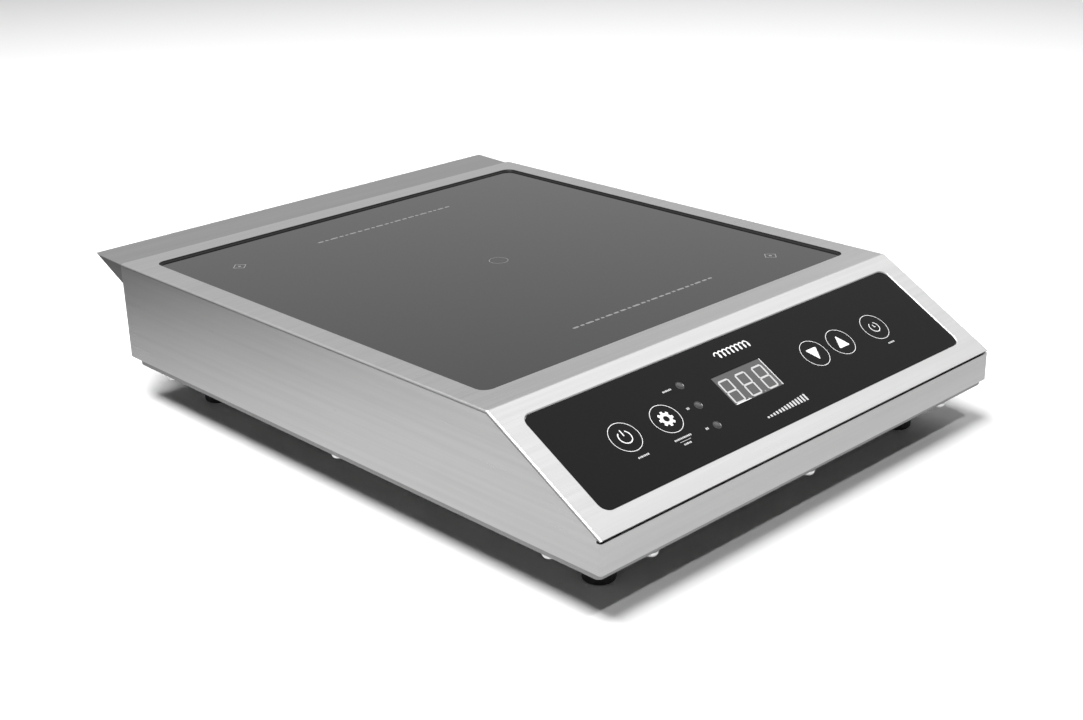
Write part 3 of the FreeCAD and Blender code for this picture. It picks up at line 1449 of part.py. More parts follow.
def wiring():
    """The flat lead from the control board to the power board."""
    body = new_body("ribbon")
    angle = SLOPE
    mid = f"(panel_start + {PANEL_HEIGHT} / 2)"
    depth = f"(-{BOARD_FACE} + board_thick)"
    start_y = f"({Y_FRONT} + {mid} * cos({angle}) + {depth} * sin({angle}))"
    start_z = f"(stand_height + nose_height + {mid} * sin({angle}) - {depth} * cos({angle}))"
    end_y = "(board_y - board_depth / 2 + ribbon_end)"
    low = f"({Z_BOARD_TOP} + ribbon_rise)"
    thick = "ribbon_thick"
    outline = new_sketch("ribbon_outline", body, at=(BOARD_X, "0", "0"), turn=FACING_SIDE)
    polygon(
        outline,
        [
            (start_y, f"{start_z} - ribbon_bite"),
            (start_y, f"{low} + ribbon_sweep * 2 / 3"),
            (f"{start_y} + ribbon_sweep", low),
            (end_y, low),
            (end_y, Z_BOARD_TOP),
            (f"{end_y} + {thick}", Z_BOARD_TOP),
            (f"{end_y} + {thick}", f"{low} + {thick}"),
            (f"{start_y} + ribbon_sweep + {thick} / 2", f"{low} + {thick}"),
            (f"{start_y} + {thick}", f"{low} + ribbon_sweep * 5 / 6"),
            (f"{start_y} + {thick}", f"{start_z} + {thick} * tan({angle}) - ribbon_bite"),
        ],
    )
    pad(body, outline, "ribbon_width", both_ways=True)
    keep("control_ribbon", body)


# ---------------------------------------------------------------- everything, checked and written


def check(label, made):
    """A piece that is missing, failed or not closed stops the build."""
    shape = made.Shape
    if shape.isNull() or not shape.isValid() or not shape.Solids:
        raise RuntimeError(f"{label} is not a valid solid")
    return shape


def main():
    for make in (
        top_cover,
        front_rail,
        rear_lip,
        glass,
        panel_film,
        panel_backing,
        keys,
        control_board,
        base_pan,
        pan_screws,
        feet,
        cord_gland,
        rating_plate,
        coil,
        sensor,
        fan,
        power_board,
        heat_sink,
        components,
        wiring,
    ):
        make()
    DOC.recompute()
    failed = [o.Label for o in DOC.Objects if "Invalid" in o.State or "Error" in o.State]
    if failed:
        raise RuntimeError(f"these objects failed: {failed}")
    os.makedirs("parts", exist_ok=True)
    for label, made in NODES.items():
        shape = check(label, made)
        shape.exportStep(f"parts/{label}.step")
        print(f"{label}: {len(shape.Solids)} solids, {shape.Volume / 1000:.2f} cm3")


main()
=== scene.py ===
# %% [markdown]
# # A countertop induction cooktop
#
# A folded case of brushed stainless steel carries a black glass plate on top and a black control
# panel on its sloping front. The hard parts come in from a finished design as a fixed frame, so
# nothing here moves or resizes them. This lesson gives every part its finish, replaces the few
# parts whose shape needs more care than a design drawing holds, and adds the printed marks.
# Everything is in metres: X to the cook's right, Y from front to rear, Z up.

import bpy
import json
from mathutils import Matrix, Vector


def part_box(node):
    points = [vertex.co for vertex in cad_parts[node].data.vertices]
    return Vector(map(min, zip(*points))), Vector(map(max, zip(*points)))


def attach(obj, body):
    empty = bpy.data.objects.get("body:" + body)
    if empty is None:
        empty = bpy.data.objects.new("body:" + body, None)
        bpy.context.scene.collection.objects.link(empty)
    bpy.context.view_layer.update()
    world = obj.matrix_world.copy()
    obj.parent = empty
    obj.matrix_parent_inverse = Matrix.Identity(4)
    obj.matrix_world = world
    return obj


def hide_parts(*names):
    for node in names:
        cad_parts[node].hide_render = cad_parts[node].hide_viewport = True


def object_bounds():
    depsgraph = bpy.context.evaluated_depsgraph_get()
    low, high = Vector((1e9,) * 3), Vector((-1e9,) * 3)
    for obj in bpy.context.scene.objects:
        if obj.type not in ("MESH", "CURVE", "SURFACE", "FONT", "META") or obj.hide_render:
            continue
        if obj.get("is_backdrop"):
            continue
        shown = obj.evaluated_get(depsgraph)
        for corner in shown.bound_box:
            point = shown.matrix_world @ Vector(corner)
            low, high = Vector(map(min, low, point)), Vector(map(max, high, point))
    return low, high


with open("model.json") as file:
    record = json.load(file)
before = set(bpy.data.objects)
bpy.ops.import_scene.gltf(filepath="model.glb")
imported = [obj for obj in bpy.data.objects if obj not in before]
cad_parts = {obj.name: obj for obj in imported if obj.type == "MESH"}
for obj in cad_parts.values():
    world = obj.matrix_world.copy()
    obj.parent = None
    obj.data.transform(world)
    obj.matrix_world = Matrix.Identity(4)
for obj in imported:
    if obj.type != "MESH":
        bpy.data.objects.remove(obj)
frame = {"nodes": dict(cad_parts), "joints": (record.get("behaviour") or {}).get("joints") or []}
cad_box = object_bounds()
slot_of = {name: part.data.materials[0].name for name, part in frame["nodes"].items()}
print(f"{len(slot_of)} parts in {len(set(slot_of.values()))} finishes")

# %% Blender's modules
import json
import math

import bmesh
import bpy
from mathutils import Matrix, Vector

MM = 0.001

# %% [markdown]
# ## The camera
# The camera comes first, because every later choice is judged through it. It stands to the left
# of the front corner, a little above the top, with a moderate telephoto lens. Its matrix is built
# from three angles instead of by aiming at a point, so the slight roll of the view is kept too.

# %% The camera
AZIMUTH, ELEVATION, ROLL = (math.radians(angle) for angle in (-43.78, 21.658, -1.2825))
CAMERA_PLACE = Vector((-0.5934, -0.6311, 0.3711))
LENS, SENSOR = 53.916, 36.0


def view_axes(azimuth, elevation, roll):
    """The camera's right, up and backward directions."""
    back = Vector((
        math.sin(azimuth) * math.cos(elevation),
        -math.cos(azimuth) * math.cos(elevation),
        math.sin(elevation),
    ))
    right = Vector((math.cos(azimuth), math.sin(azimuth), 0.0))
    up = back.cross(right)
    turn = Matrix.Rotation(roll, 3, back)
    return turn @ right, turn @ up, back


scene = bpy.context.scene
camera = bpy.data.objects.new("camera", bpy.data.cameras.new("camera"))
camera.data.lens = LENS
camera.data.sensor_width = SENSOR
camera.matrix_world = Matrix.Translation(CAMERA_PLACE) @ Matrix(
    view_axes(AZIMUTH, ELEVATION, ROLL)
).transposed().to_4x4()
scene.collection.objects.link(camera)
scene.camera = camera
print("camera looks along", [round(x, 3) for x in -camera.matrix_world.col[2].xyz])

# %% [markdown]
# ## The studio
# Brushed steel has hardly any colour of its own: what the eye reads is the room it reflects. So
# the studio is the first material decision. In metal the room looks pale, and darker low down at
# the left, so that the sides don't melt into the background. It lights soft surfaces only faintly,
# so the lamps decide where the shadow falls: a broad one from the left gives the soft edge, a small
# one in front gives the sharp line, and both are high up, which keeps the shadow under the case.

# %% One helper for every node

def add(tree, kind, inputs=None, **settings):
    """One node; an input is given a number or colour, or another node's output to link."""
    node = tree.nodes.new(f"ShaderNode{kind}")
    for name, setting in settings.items():
        setattr(node, name, setting)
    for socket, given in (inputs or {}).items():
        if isinstance(given, bpy.types.NodeSocket):
            tree.links.new(given, node.inputs[socket])
        else:
            node.inputs[socket].default_value = given
    return node


print("add() makes a node, sets it and links it")

# %% The world
ROOM_LOW, ROOM_HIGH, ROOM_FILL = 0.66, 0.8, 0.05
DARK_SIDE, SIDE_REACH, DARK_HEIGHT, WHITE_FROM = 0.7, (0.1, -0.5), (0.02, 0.3), 0.5

scene.view_settings.view_transform = "Standard"
world = bpy.data.worlds.new("studio")
scene.world = world
world.use_nodes = True
sky = world.node_tree


def sky_range(factor, start, end, low, high):
    """A direction's part turned into numbers between low and high, smoothly."""
    inputs = {"Value": factor, "From Min": start, "From Max": end, "To Min": low, "To Max": high}
    return add(sky, "MapRange", inputs, interpolation_type="SMOOTHSTEP").outputs[0]


def sky_math(operation, first, second):
    """Two numbers joined into one."""
    return add(sky, "Math", {0: first, 1: second}, operation=operation).outputs[0]


direction = add(sky, "TexCoord").outputs["Generated"]
parts = add(sky, "SeparateXYZ", {"Vector": direction})
rise = sky_range(parts.outputs["Z"], 0.0, WHITE_FROM, ROOM_LOW, ROOM_HIGH)
leftward = sky_range(parts.outputs["X"], *SIDE_REACH, 0.0, DARK_SIDE)
low_down = sky_range(parts.outputs["Z"], *DARK_HEIGHT, 1.0, 0.0)
shade = sky_math("SUBTRACT", 1.0, sky_math("MULTIPLY", leftward, low_down))
mirrored = sky_math("MULTIPLY", rise, shade)
ray = add(sky, "LightPath").outputs
in_metal = sky_math("MULTIPLY", ray["Is Glossy Ray"], mirrored)
in_view = sky_math("MAXIMUM", ray["Is Camera Ray"], in_metal)
strength = sky_math("MAXIMUM", in_view, ROOM_FILL)
sky.links.new(strength, sky.nodes["Background"].inputs["Strength"])
sky.nodes["Background"].inputs["Color"].default_value = (1, 1, 1, 1)
print("room from", ROOM_LOW, "to", ROOM_HIGH, "and", ROOM_FILL, "on soft surfaces")

# %% The floor
FLOOR_REACH, FLOOR_CELLS = 4.0, 8
PAPER_SEEN, PAPER_NEAR, PAPER_FAR = 0.95, 0.56, 0.08
FADE_TOWARDS, FADE_START, FADE_END = Vector((-0.6, 0.8, 0.0)), 0.12, 0.6


def paper():
    """White to the eye; what metal mirrors of it darkens towards the left and the rear."""
    paint = bpy.data.materials.new("floor_paper")
    paint.use_nodes = True
    tree = paint.node_tree
    shader = tree.nodes["Principled BSDF"]
    shader.inputs["Roughness"].default_value = 0.9
    shader.inputs["Specular IOR Level"].default_value = 0.0
    place = add(tree, "TexCoord").outputs["Object"]
    across = add(tree, "VectorMath", {0: place, 1: FADE_TOWARDS}, operation="DOT_PRODUCT")
    fade = add(tree, "MapRange", {
        "Value": across.outputs["Value"], "From Min": FADE_START, "From Max": FADE_END,
        "To Min": PAPER_NEAR, "To Max": PAPER_FAR,
    }, interpolation_type="SMOOTHSTEP")
    seen = add(tree, "LightPath").outputs["Is Camera Ray"]
    tone = add(tree, "Mix", {0: seen, 2: fade.outputs["Result"], 3: PAPER_SEEN})
    tree.links.new(tone.outputs[0], shader.inputs["Base Color"])
    return paint


def stage_floor():
    """A sheet of paper wide enough to fill every view."""
    bm = bmesh.new()
    bmesh.ops.create_grid(bm, x_segments=FLOOR_CELLS, y_segments=FLOOR_CELLS, size=FLOOR_REACH)
    mesh = bpy.data.meshes.new("floor")
    bm.to_mesh(mesh)
    bm.free()
    mesh.materials.append(paper())
    floor = bpy.data.objects.new("floor", mesh)
    scene.collection.objects.link(floor)
    floor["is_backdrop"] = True


stage_floor()
print("floor reaches", FLOOR_REACH, "m each way")

# %% Softboxes


def softbox(name, towards, distance, width, height, radiance, target=Vector((0, 0, 0.05))):
    """A rectangular light that faces the target from a direction, as bright per area as asked."""
    data = bpy.data.lights.new(name, "AREA")
    data.shape = "RECTANGLE"
    data.size, data.size_y = width, height
    data.energy = radiance * math.pi * width * height
    lamp = bpy.data.objects.new(name, data)
    away = Vector(towards).normalized()
    lamp.location = target + away * distance
    lamp.rotation_euler = away.to_track_quat("Z", "Y").to_euler()
    scene.collection.objects.link(lamp)
    return lamp


softbox("panel_softbox", (0.643, 0.026, 0.765), 1.6, 1.3, 1.3, 1.0)
softbox("left_softbox", (-0.33, 0.03, 1.0), 2.0, 1.4, 1.0, 17.0)
softbox("front_lamp", (-0.08, -0.6, 1.0), 2.0, 0.08, 0.08, 440.0)

# %% [markdown]
# ## A small kit for node materials
# Each finish below is a Principled shader whose colour, roughness and bump come from noise and
# ramps. Writing every node by hand would bury the idea, so add() makes each one in a single call,
# and a few more helpers name the patterns that finishes share: a noise that can be stretched, a
# range, a blend and a bump.

# %% Node helpers


def noise(tree, stretch, detail=2.0, roughness=0.5, offset=0.0):
    """Noise over the object's own metres; stretch is how many features fit in a metre each way."""
    if isinstance(stretch, (int, float)):
        stretch = (stretch, stretch, stretch)
    place = add(tree, "TexCoord").outputs["Object"]
    mapped = add(tree, "Mapping", {"Vector": place, "Scale": stretch, "Location": (offset,) * 3})
    made = add(tree, "TexNoise", {
        "Vector": mapped.outputs["Vector"], "Scale": 1.0, "Detail": detail, "Roughness": roughness,
    })
    return made.outputs["Fac"]


def ranged(tree, factor, low, high, start=0.25, end=0.75):
    """A factor turned into numbers between low and high."""
    made = add(tree, "MapRange", {
        "Value": factor, "From Min": start, "From Max": end, "To Min": low, "To Max": high,
    })
    return made.outputs["Result"]


def blend_colours(tree, factor, first, second):
    """One colour where the factor is 0 and another where it is 1."""
    made = add(tree, "Mix", data_type="RGBA")
    for socket, given in ((0, factor), (6, first), (7, second)):
        if isinstance(given, bpy.types.NodeSocket):
            tree.links.new(given, made.inputs[socket])
        else:
            made.inputs[socket].default_value = given
    return made.outputs[2]


def blend_numbers(tree, factor, first, second):
    """One number where the factor is 0 and another where it is 1."""
    made = add(tree, "Mix", {0: factor, 2: first, 3: second}, data_type="FLOAT")
    return made.outputs[0]


def bumped(tree, height, depth, strength=1.0, before=None):
    """A normal from a height pattern that is depth metres deep."""
    sockets = {"Height": height, "Distance": depth, "Strength": strength}
    if before is not None:
        sockets["Normal"] = before
    return add(tree, "Bump", sockets).outputs["Normal"]


FINISHES = {}


def grey(tone, tint=(1.0, 1.0, 1.0)):
    """A grey of that tone as a colour socket's four numbers."""
    return (tone * tint[0], tone * tint[1], tone * tint[2], 1.0)


def new_finish(name, **constants):
    """A named material with numbers set on its shader's own sockets."""
    made = bpy.data.materials.new(name)
    made.use_nodes = True
    shader = made.node_tree.nodes["Principled BSDF"]
    for socket, given in constants.items():
        shader.inputs[socket.replace("_", " ")].default_value = given
    FINISHES[name] = made
    return made.node_tree, shader


def wire(tree, shader, **links):
    """Links patterns to the shader's sockets."""
    for socket, output in links.items():
        tree.links.new(output, shader.inputs[socket.replace("_", " ")])


# %% [markdown]
# ## Brushed steel
# A brushed sheet is scratched by an abrasive belt along one direction, so its marks are hundreds
# of times longer than they are wide. Noise stretched by that ratio makes them: fine hairs in the
# bump and the roughness, and broader, fainter streaks in the colour. The belt ran along the long
# way of each face, so the streaks run along X on the top, front and rear, and along Y on the
# sides: the object-space normal says which face a point is on.

# %% Brushed metals
HAIR, STREAK = 1900.0, 340.0
ALONG_HAIR, ALONG_STREAK = 22.0, 5.0


def grain(tree, across, along, detail):
    """Noise drawn out along X, or along Y on the faces that look sideways."""
    along_x = noise(tree, (along, across, across), detail, 0.6)
    along_y = noise(tree, (across, along, across), detail, 0.6, offset=3.7)
    facing = add(tree, "TexCoord").outputs["Normal"]
    sideways = add(tree, "SeparateXYZ", {"Vector": facing}).outputs["X"]
    turned = add(tree, "Math", {0: sideways}, operation="ABSOLUTE").outputs[0]
    on_side = add(tree, "Math", {0: turned, 1: 0.7}, operation="GREATER_THAN").outputs[0]
    return blend_numbers(tree, on_side, along_x, along_y)


def brushed(name, tone, roughness, tint=(1.0, 1.0, 1.0), variation=0.035, depth=4e-6):
    """A satin brushed metal."""
    tree, shader = new_finish(name, Metallic=1.0)
    hairs = grain(tree, HAIR, ALONG_HAIR, 4.0)
    streaks = grain(tree, STREAK, ALONG_STREAK, 2.0)
    handled = ranged(tree, noise(tree, 9.0, 2.0, offset=11.0), -0.02, 0.03)
    dark, light = grey(tone * (1 - variation), tint), grey(tone * (1 + variation), tint)
    colour = blend_colours(tree, ranged(tree, streaks, 0, 1), dark, light)
    hair_shine = ranged(tree, hairs, roughness - 0.04, roughness + 0.05)
    shine = add(tree, "Math", {0: hair_shine, 1: handled}, operation="ADD").outputs[0]
    wire(tree, shader, Base_Color=colour, Roughness=shine, Normal=bumped(tree, hairs, depth))


brushed("brushed_case", 0.47, 0.3, variation=0.05, depth=6e-6)
brushed("pan_steel", 0.27, 0.45, variation=0.05)
# A darker copy of the case steel for the rear lip: painted shade, since the tilted lip is the same
# steel and only mirrors a darker part of the room.
brushed("lip_steel", 0.32, 0.34, variation=0.06)
brushed("backing_aluminium", 0.6, 0.34)
brushed("label_aluminium", 0.62, 0.28, variation=0.02)
brushed("sink_aluminium", 0.55, 0.38, variation=0.06)
print("brushed metals:", list(FINISHES))

# %% [markdown]
# ## Plated and plain metals
# Screws, posts and springs are steel wire or rod with a zinc or nickel plating. They are too
# small to show a brushed grain. What shows is a soft sparkle and a slight stain where tools and
# fingers have been, so a fine round noise drives the roughness and a slow one tints the colour.

# %% Plated metals


def plated(name, colour, stain, roughness, patch=140.0):
    """A small metal part with a faintly uneven plating."""
    tree, shader = new_finish(name, Metallic=1.0)
    patches = noise(tree, patch, 3.0)
    sparkle = noise(tree, 2600.0, 2.0, offset=5.0)
    wire(
        tree, shader,
        Base_Color=blend_colours(tree, ranged(tree, patches, 0, 1), colour, stain),
        Roughness=ranged(tree, patches, roughness - 0.05, roughness + 0.1),
        Normal=bumped(tree, sparkle, 3e-6),
    )


plated("zinc_steel", (0.6, 0.61, 0.63, 1), (0.5, 0.5, 0.49, 1), 0.34)
# The screw heads are plated lighter than the zinc parts: painted light for the floor's light that
# reaches them in the shade under the case.
plated("pan_screw_steel", (0.8, 0.8, 0.8, 1), (0.72, 0.72, 0.71, 1), 0.42)
plated("bearing_bronze", (0.6, 0.42, 0.22, 1), (0.45, 0.3, 0.15, 1), 0.35)
plated("fuse_metal", (0.66, 0.62, 0.55, 1), (0.55, 0.52, 0.47, 1), 0.25)
print("plated metals done")

# %% [markdown]
# ## Glass, film and silicone
# The plate is black glass ceramic: nearly no colour, a polished face, and a Fresnel reflection
# that grows towards the far edge. A trace of wiping marks in the roughness keeps it from looking
# like a void. The panel's film is the opposite: a matt, finely grained plastic that hardly
# mirrors anything, so its specular level is low. The silicone round the glass is black and soft.

# %% Black surfaces


def black_surface(name, tone, roughness, spread, specular, grain_size, depth, ior=1.5):
    """A black non-metal with its own gloss and grain."""
    tree, shader = new_finish(name, IOR=ior, Specular_IOR_Level=specular)
    wiped = noise(tree, (7.0, 11.0, 9.0), 3.0, 0.6)
    grains = noise(tree, grain_size, 2.0, 0.5, offset=2.0)
    dark, light = grey(tone * 0.8), grey(tone * 1.2)
    wire(
        tree, shader,
        Base_Color=blend_colours(tree, ranged(tree, grains, 0, 1), dark, light),
        Roughness=ranged(tree, wiped, roughness, roughness + spread),
        Normal=bumped(tree, grains, depth),
    )


black_surface("black_glass", 0.002, 0.05, 0.035, 0.5, 4000.0, 1e-7, ior=1.45)
black_surface("panel_film", 0.006, 0.4, 0.06, 0.06, 3200.0, 3e-6)
black_surface("key_film", 0.006, 0.38, 0.06, 0.06, 3200.0, 3e-6)
black_surface("silicone_bead", 0.003, 0.4, 0.12, 0.2, 900.0, 8e-6)
black_surface("foot_rubber", 0.02, 0.62, 0.15, 0.35, 1400.0, 2e-5)
black_surface("gland_nylon", 0.022, 0.4, 0.1, 0.45, 1800.0, 8e-6)
black_surface("fan_plastic", 0.02, 0.38, 0.12, 0.45, 1500.0, 1e-5)
black_surface("chip_epoxy", 0.018, 0.55, 0.1, 0.35, 2400.0, 1e-5)
black_surface("switch_plastic", 0.03, 0.42, 0.1, 0.45, 1500.0, 8e-6)
print(len(FINISHES), "finishes so far")

# %% [markdown]
# ## What is inside
# The electronics are seen only through the air slots, but each still gets the finish of its own
# material: a woven laminate, enamelled copper wire in fine turns, dull ferrite, pressed mica
# with flakes, and moulded plastics. A wave texture draws the turns and the weave, and noise does
# the rest.

# %% Moulded and mineral finishes


def speckled(name, first, second, roughness, size, depth, detail=3.0, **constants):
    """A dull material of two close colours in a fine pattern."""
    tree, shader = new_finish(name, **constants)
    spots = noise(tree, size, detail, 0.6)
    slow = noise(tree, size / 12, 2.0, offset=7.0)
    colour = blend_colours(tree, ranged(tree, spots, 0, 1), first, second)
    wire(
        tree, shader,
        Base_Color=colour,
        Roughness=ranged(tree, slow, roughness - 0.06, roughness + 0.06),
        Normal=bumped(tree, spots, depth),
    )


speckled("mica_card", (0.62, 0.58, 0.48, 1), (0.4, 0.36, 0.28, 1), 0.35, 420.0, 2e-5)
speckled("former_resin", (0.5, 0.48, 0.43, 1), (0.42, 0.4, 0.36, 1), 0.5, 700.0, 1e-5)
speckled("ferrite", (0.06, 0.06, 0.063, 1), (0.035, 0.035, 0.037, 1), 0.62, 1500.0, 2e-5)
speckled("sensor_ceramic", (0.78, 0.76, 0.7, 1), (0.68, 0.66, 0.6, 1), 0.45, 900.0, 8e-6)
speckled("capacitor_case", (0.62, 0.5, 0.12, 1), (0.55, 0.44, 0.1, 1), 0.38, 500.0, 8e-6)
speckled("can_sleeve", (0.03, 0.05, 0.16, 1), (0.025, 0.04, 0.13, 1), 0.3, 300.0, 4e-6)
speckled("terminal_plastic", (0.1, 0.28, 0.14, 1), (0.08, 0.24, 0.12, 1), 0.45, 800.0, 8e-6)
speckled("ribbon_sleeve", (0.4, 0.41, 0.42, 1), (0.33, 0.34, 0.35, 1), 0.5, 600.0, 6e-6)
speckled("lamp_lens", (0.5, 0.08, 0.06, 1), (0.42, 0.06, 0.05, 1), 0.25, 300.0, 2e-6)

# %% Wound, woven and stacked finishes


def waves(tree, per_metre, direction="X", distortion=0.0):
    """Even bands across one of the object's directions."""
    place = add(tree, "TexCoord").outputs["Object"]
    scale = per_metre * 2 * math.pi / 20
    inputs = {"Vector": place, "Scale": scale, "Distortion": distortion}
    made = add(tree, "TexWave", inputs, bands_direction=direction)
    return made.outputs["Fac"]


def wound_copper():
    """Enamelled wire in close turns round a vertical axis."""
    tree, shader = new_finish("copper_winding", Metallic=0.9)
    turns = waves(tree, 900.0, "Z")
    stain = noise(tree, 60.0, 3.0)
    bright, stained = (0.62, 0.26, 0.1, 1), (0.42, 0.16, 0.06, 1)
    colour = blend_colours(tree, ranged(tree, stain, 0, 1), bright, stained)
    wire(
        tree, shader,
        Base_Color=colour,
        Roughness=ranged(tree, stain, 0.28, 0.42),
        Normal=bumped(tree, turns, 2e-4),
    )


def woven_laminate():
    """Green lacquer over a glass weave."""
    tree, shader = new_finish("board_laminate")
    warp, weft = waves(tree, 1000.0, "X", 0.3), waves(tree, 1000.0, "Y", 0.3)
    weave = add(tree, "Math", {0: warp, 1: weft}, operation="MULTIPLY").outputs[0]
    low, high = (0.02, 0.1, 0.04, 1), (0.03, 0.14, 0.06, 1)
    wire(
        tree, shader,
        Base_Color=blend_colours(tree, ranged(tree, weave, 0, 1), low, high),
        Roughness=ranged(tree, weave, 0.3, 0.4),
        Normal=bumped(tree, weave, 1e-5),
    )


def stacked_core():
    """Thin steel sheets side by side, lacquered."""
    tree, shader = new_finish("transformer_core", Metallic=0.6)
    sheets = waves(tree, 1400.0, "Z")
    rust = noise(tree, 300.0, 3.0)
    clean, rusty = (0.24, 0.22, 0.2, 1), (0.16, 0.13, 0.11, 1)
    wire(
        tree, shader,
        Base_Color=blend_colours(tree, ranged(tree, rust, 0, 1), clean, rusty),
        Roughness=ranged(tree, rust, 0.4, 0.6),
        Normal=bumped(tree, sheets, 1e-4),
    )


wound_copper()
woven_laminate()
stacked_core()
print(len(FINISHES), "finishes so far")

# %% [markdown]
# ## Inks, the display and its windows
# The panel is printed from behind in white, and the glass is printed in a grey that is only a
# little lighter than the plate. The display is a block of grey plastic with pale segments that
# stand out even unlit. Each still has a faint mottling, because a printed
# dot of ink is never quite even.

# %% Inks and display plastics


def ink(name, tone, roughness):
    """A printed or moulded pale surface."""
    tree, shader = new_finish(name)
    mottle = noise(tree, 2200.0, 2.0)
    wire(
        tree, shader,
        Base_Color=blend_colours(tree, ranged(tree, mottle, 0, 1), grey(tone * 0.94), grey(tone)),
        Roughness=ranged(tree, mottle, roughness, roughness + 0.1),
        Normal=bumped(tree, mottle, 1e-6),
    )


ink("white_ink", 0.78, 0.5)
ink("soft_ink", 0.5, 0.5)
ink("glass_ink", 0.16, 0.35)
ink("display_face", 0.05, 0.32)
ink("segment_plastic", 0.46, 0.4)
ink("point_plastic", 0.2, 0.4)
black_surface("tinted_window", 0.03, 0.12, 0.06, 0.5, 1500.0, 1e-6)
print(len(FINISHES), "finishes")

# %% Give every part of the design its finish
for name, part in frame["nodes"].items():
    # The rear lip takes the darker copy of the case steel, which is painted shade.
    part.data.materials[0] = FINISHES["lip_steel" if name == "rear_lip" else slot_of[name]]
print("dressed", len(slot_of), "parts")

# %% [markdown]
# ## Drawing in millimetres
# The added pieces are drawn the way a machinist would describe them: a flat outline between two
# heights, a band between two outlines, or a profile turned on a lathe. Three helpers cover all
# of them, and each result is a closed solid. A last helper turns the drawing into a piece: it
# scales millimetres to metres, places it, and lets it ride on a body of the frame.

# %% Outlines


def arc(radius, start, end, steps, x=0.0, y=0.0):
    """Points along an arc, from one angle in degrees to another."""
    angles = [math.radians(start + (end - start) * i / steps) for i in range(steps + 1)]
    return [(x + radius * math.cos(a), y + radius * math.sin(a)) for a in angles]


def circle(radius, steps=48, x=0.0, y=0.0):
    """Points round a full circle."""
    return arc(radius, 0, 360, steps, x, y)[:-1]


def rounded(width, height, radius, steps=6, x=0.0, y=0.0):
    """A rectangle with round corners; the number of points depends only on steps."""
    points = []
    for turn, (side, end) in enumerate(((1, 1), (-1, 1), (-1, -1), (1, -1))):
        centre = x + side * (width / 2 - radius), y + end * (height / 2 - radius)
        points += arc(radius, 90 * turn, 90 * turn + 90, steps, *centre)
    return points


# %% Solids from outlines


def loop(bm, outline, level):
    """The outline as vertices at one height."""
    return [bm.verts.new((x, y, level)) for x, y in outline]


def walls(bm, low, high, closed=True):
    """Faces between two loops of as many vertices."""
    count = len(low)
    for i in range(count if closed else count - 1):
        j = (i + 1) % count
        bm.faces.new((low[i], low[j], high[j], high[i]))


def slab(bm, outline, low, high):
    """A flat plate."""
    bottom, top = loop(bm, outline, low), loop(bm, outline, high)
    bm.faces.new(top)
    bm.faces.new(bottom)
    walls(bm, bottom, top)


def band(bm, outer, inner, low, high, closed=True):
    """A flat strip between two lines of as many points."""
    section = ((outer, low), (outer, high), (inner, high), (inner, low))
    corners = [loop(bm, line, level) for line, level in section]
    for i in range(4):
        walls(bm, corners[i], corners[(i + 1) % 4], closed)
    if not closed:
        for end in (0, -1):
            bm.faces.new([line[end] for line in corners])


def lathe(bm, profile, steps=48, closed=False):
    """A profile of (radius, height) turned round Z; closed joins its last point to its first."""
    rings = [
        loop(bm, circle(radius, steps), level) if radius else [bm.verts.new((0, 0, level))]
        for radius, level in profile
    ]
    pairs = list(zip(rings, rings[1:])) + ([(rings[-1], rings[0])] if closed else [])
    for low, high in pairs:
        for i in range(steps):
            j = (i + 1) % steps
            corners = [low[i % len(low)], low[j % len(low)]]
            corners += [high[j % len(high)], high[i % len(high)]]
            bm.faces.new(dict.fromkeys(corners))


# %% From a drawing to a piece
SHARP = math.radians(35)


def make_piece(name, bm, body, finish, place=Matrix.Identity(4)):
    """A drawing in millimetres becomes a piece in metres that rides on a body."""
    bmesh.ops.recalc_face_normals(bm, faces=bm.faces)
    mesh = bpy.data.meshes.new(name)
    bm.to_mesh(mesh)
    bm.free()
    mesh.transform(place @ Matrix.Scale(MM, 4))
    mesh.shade_smooth()
    mesh.set_sharp_from_angle(angle=SHARP)
    mesh.materials.append(FINISHES[finish])
    piece = bpy.data.objects.new(name, mesh)
    scene.collection.objects.link(piece)
    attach(piece, body)
    return piece


# %% [markdown]
# ## Finding the panel
# Everything on the sloping panel is drawn flat and then laid on it, so the panel needs a frame of
# its own: U to the right, V up the slope, W straight out. The keys slide along their joint's
# axis, which is the inward normal, and the film's own vertices give the rest.

# %% The panel's own frame
key_joints = [j for j in frame["joints"] if j["type"] == "slide"]
OUT = -Vector(key_joints[0]["axis"]).normalized()
RIGHT = Vector((1, 0, 0))
UP_SLOPE = OUT.cross(RIGHT)


def spread(name, along):
    """The lowest and highest of a part along a direction, in millimetres."""
    reaches = [v.co.dot(along) for v in frame["nodes"][name].data.vertices]
    return min(reaches) / MM, max(reaches) / MM


film_u, film_v, film_w = (spread("control_overlay", along) for along in (RIGHT, UP_SLOPE, OUT))
FACE = film_w[1]
MID_V = sum(film_v) / 2
FILM_THICK = film_w[1] - film_w[0]
PANEL = Matrix((
    (RIGHT.x, UP_SLOPE.x, OUT.x, (UP_SLOPE.x * MID_V + OUT.x * FACE) * MM),
    (RIGHT.y, UP_SLOPE.y, OUT.y, (UP_SLOPE.y * MID_V + OUT.y * FACE) * MM),
    (RIGHT.z, UP_SLOPE.z, OUT.z, (UP_SLOPE.z * MID_V + OUT.z * FACE) * MM),
    (0, 0, 0, 1),
))
key_place = {}
for joint in key_joints:
    key = joint["child"].replace("_button", "")
    reach_u, reach_v = spread(f"{key}_key", RIGHT), spread(f"{key}_key", UP_SLOPE)
    key_place[key] = sum(reach_u) / 2, sum(reach_v) / 2 - MID_V
KEY_RADIUS = (reach_u[1] - reach_u[0]) / 2
print("film", round(film_u[1] - film_u[0], 1), "x", round(film_v[1] - film_v[0], 1), "mm; keys at",
      {key: [round(x, 1) for x in place] for key, place in key_place.items()})

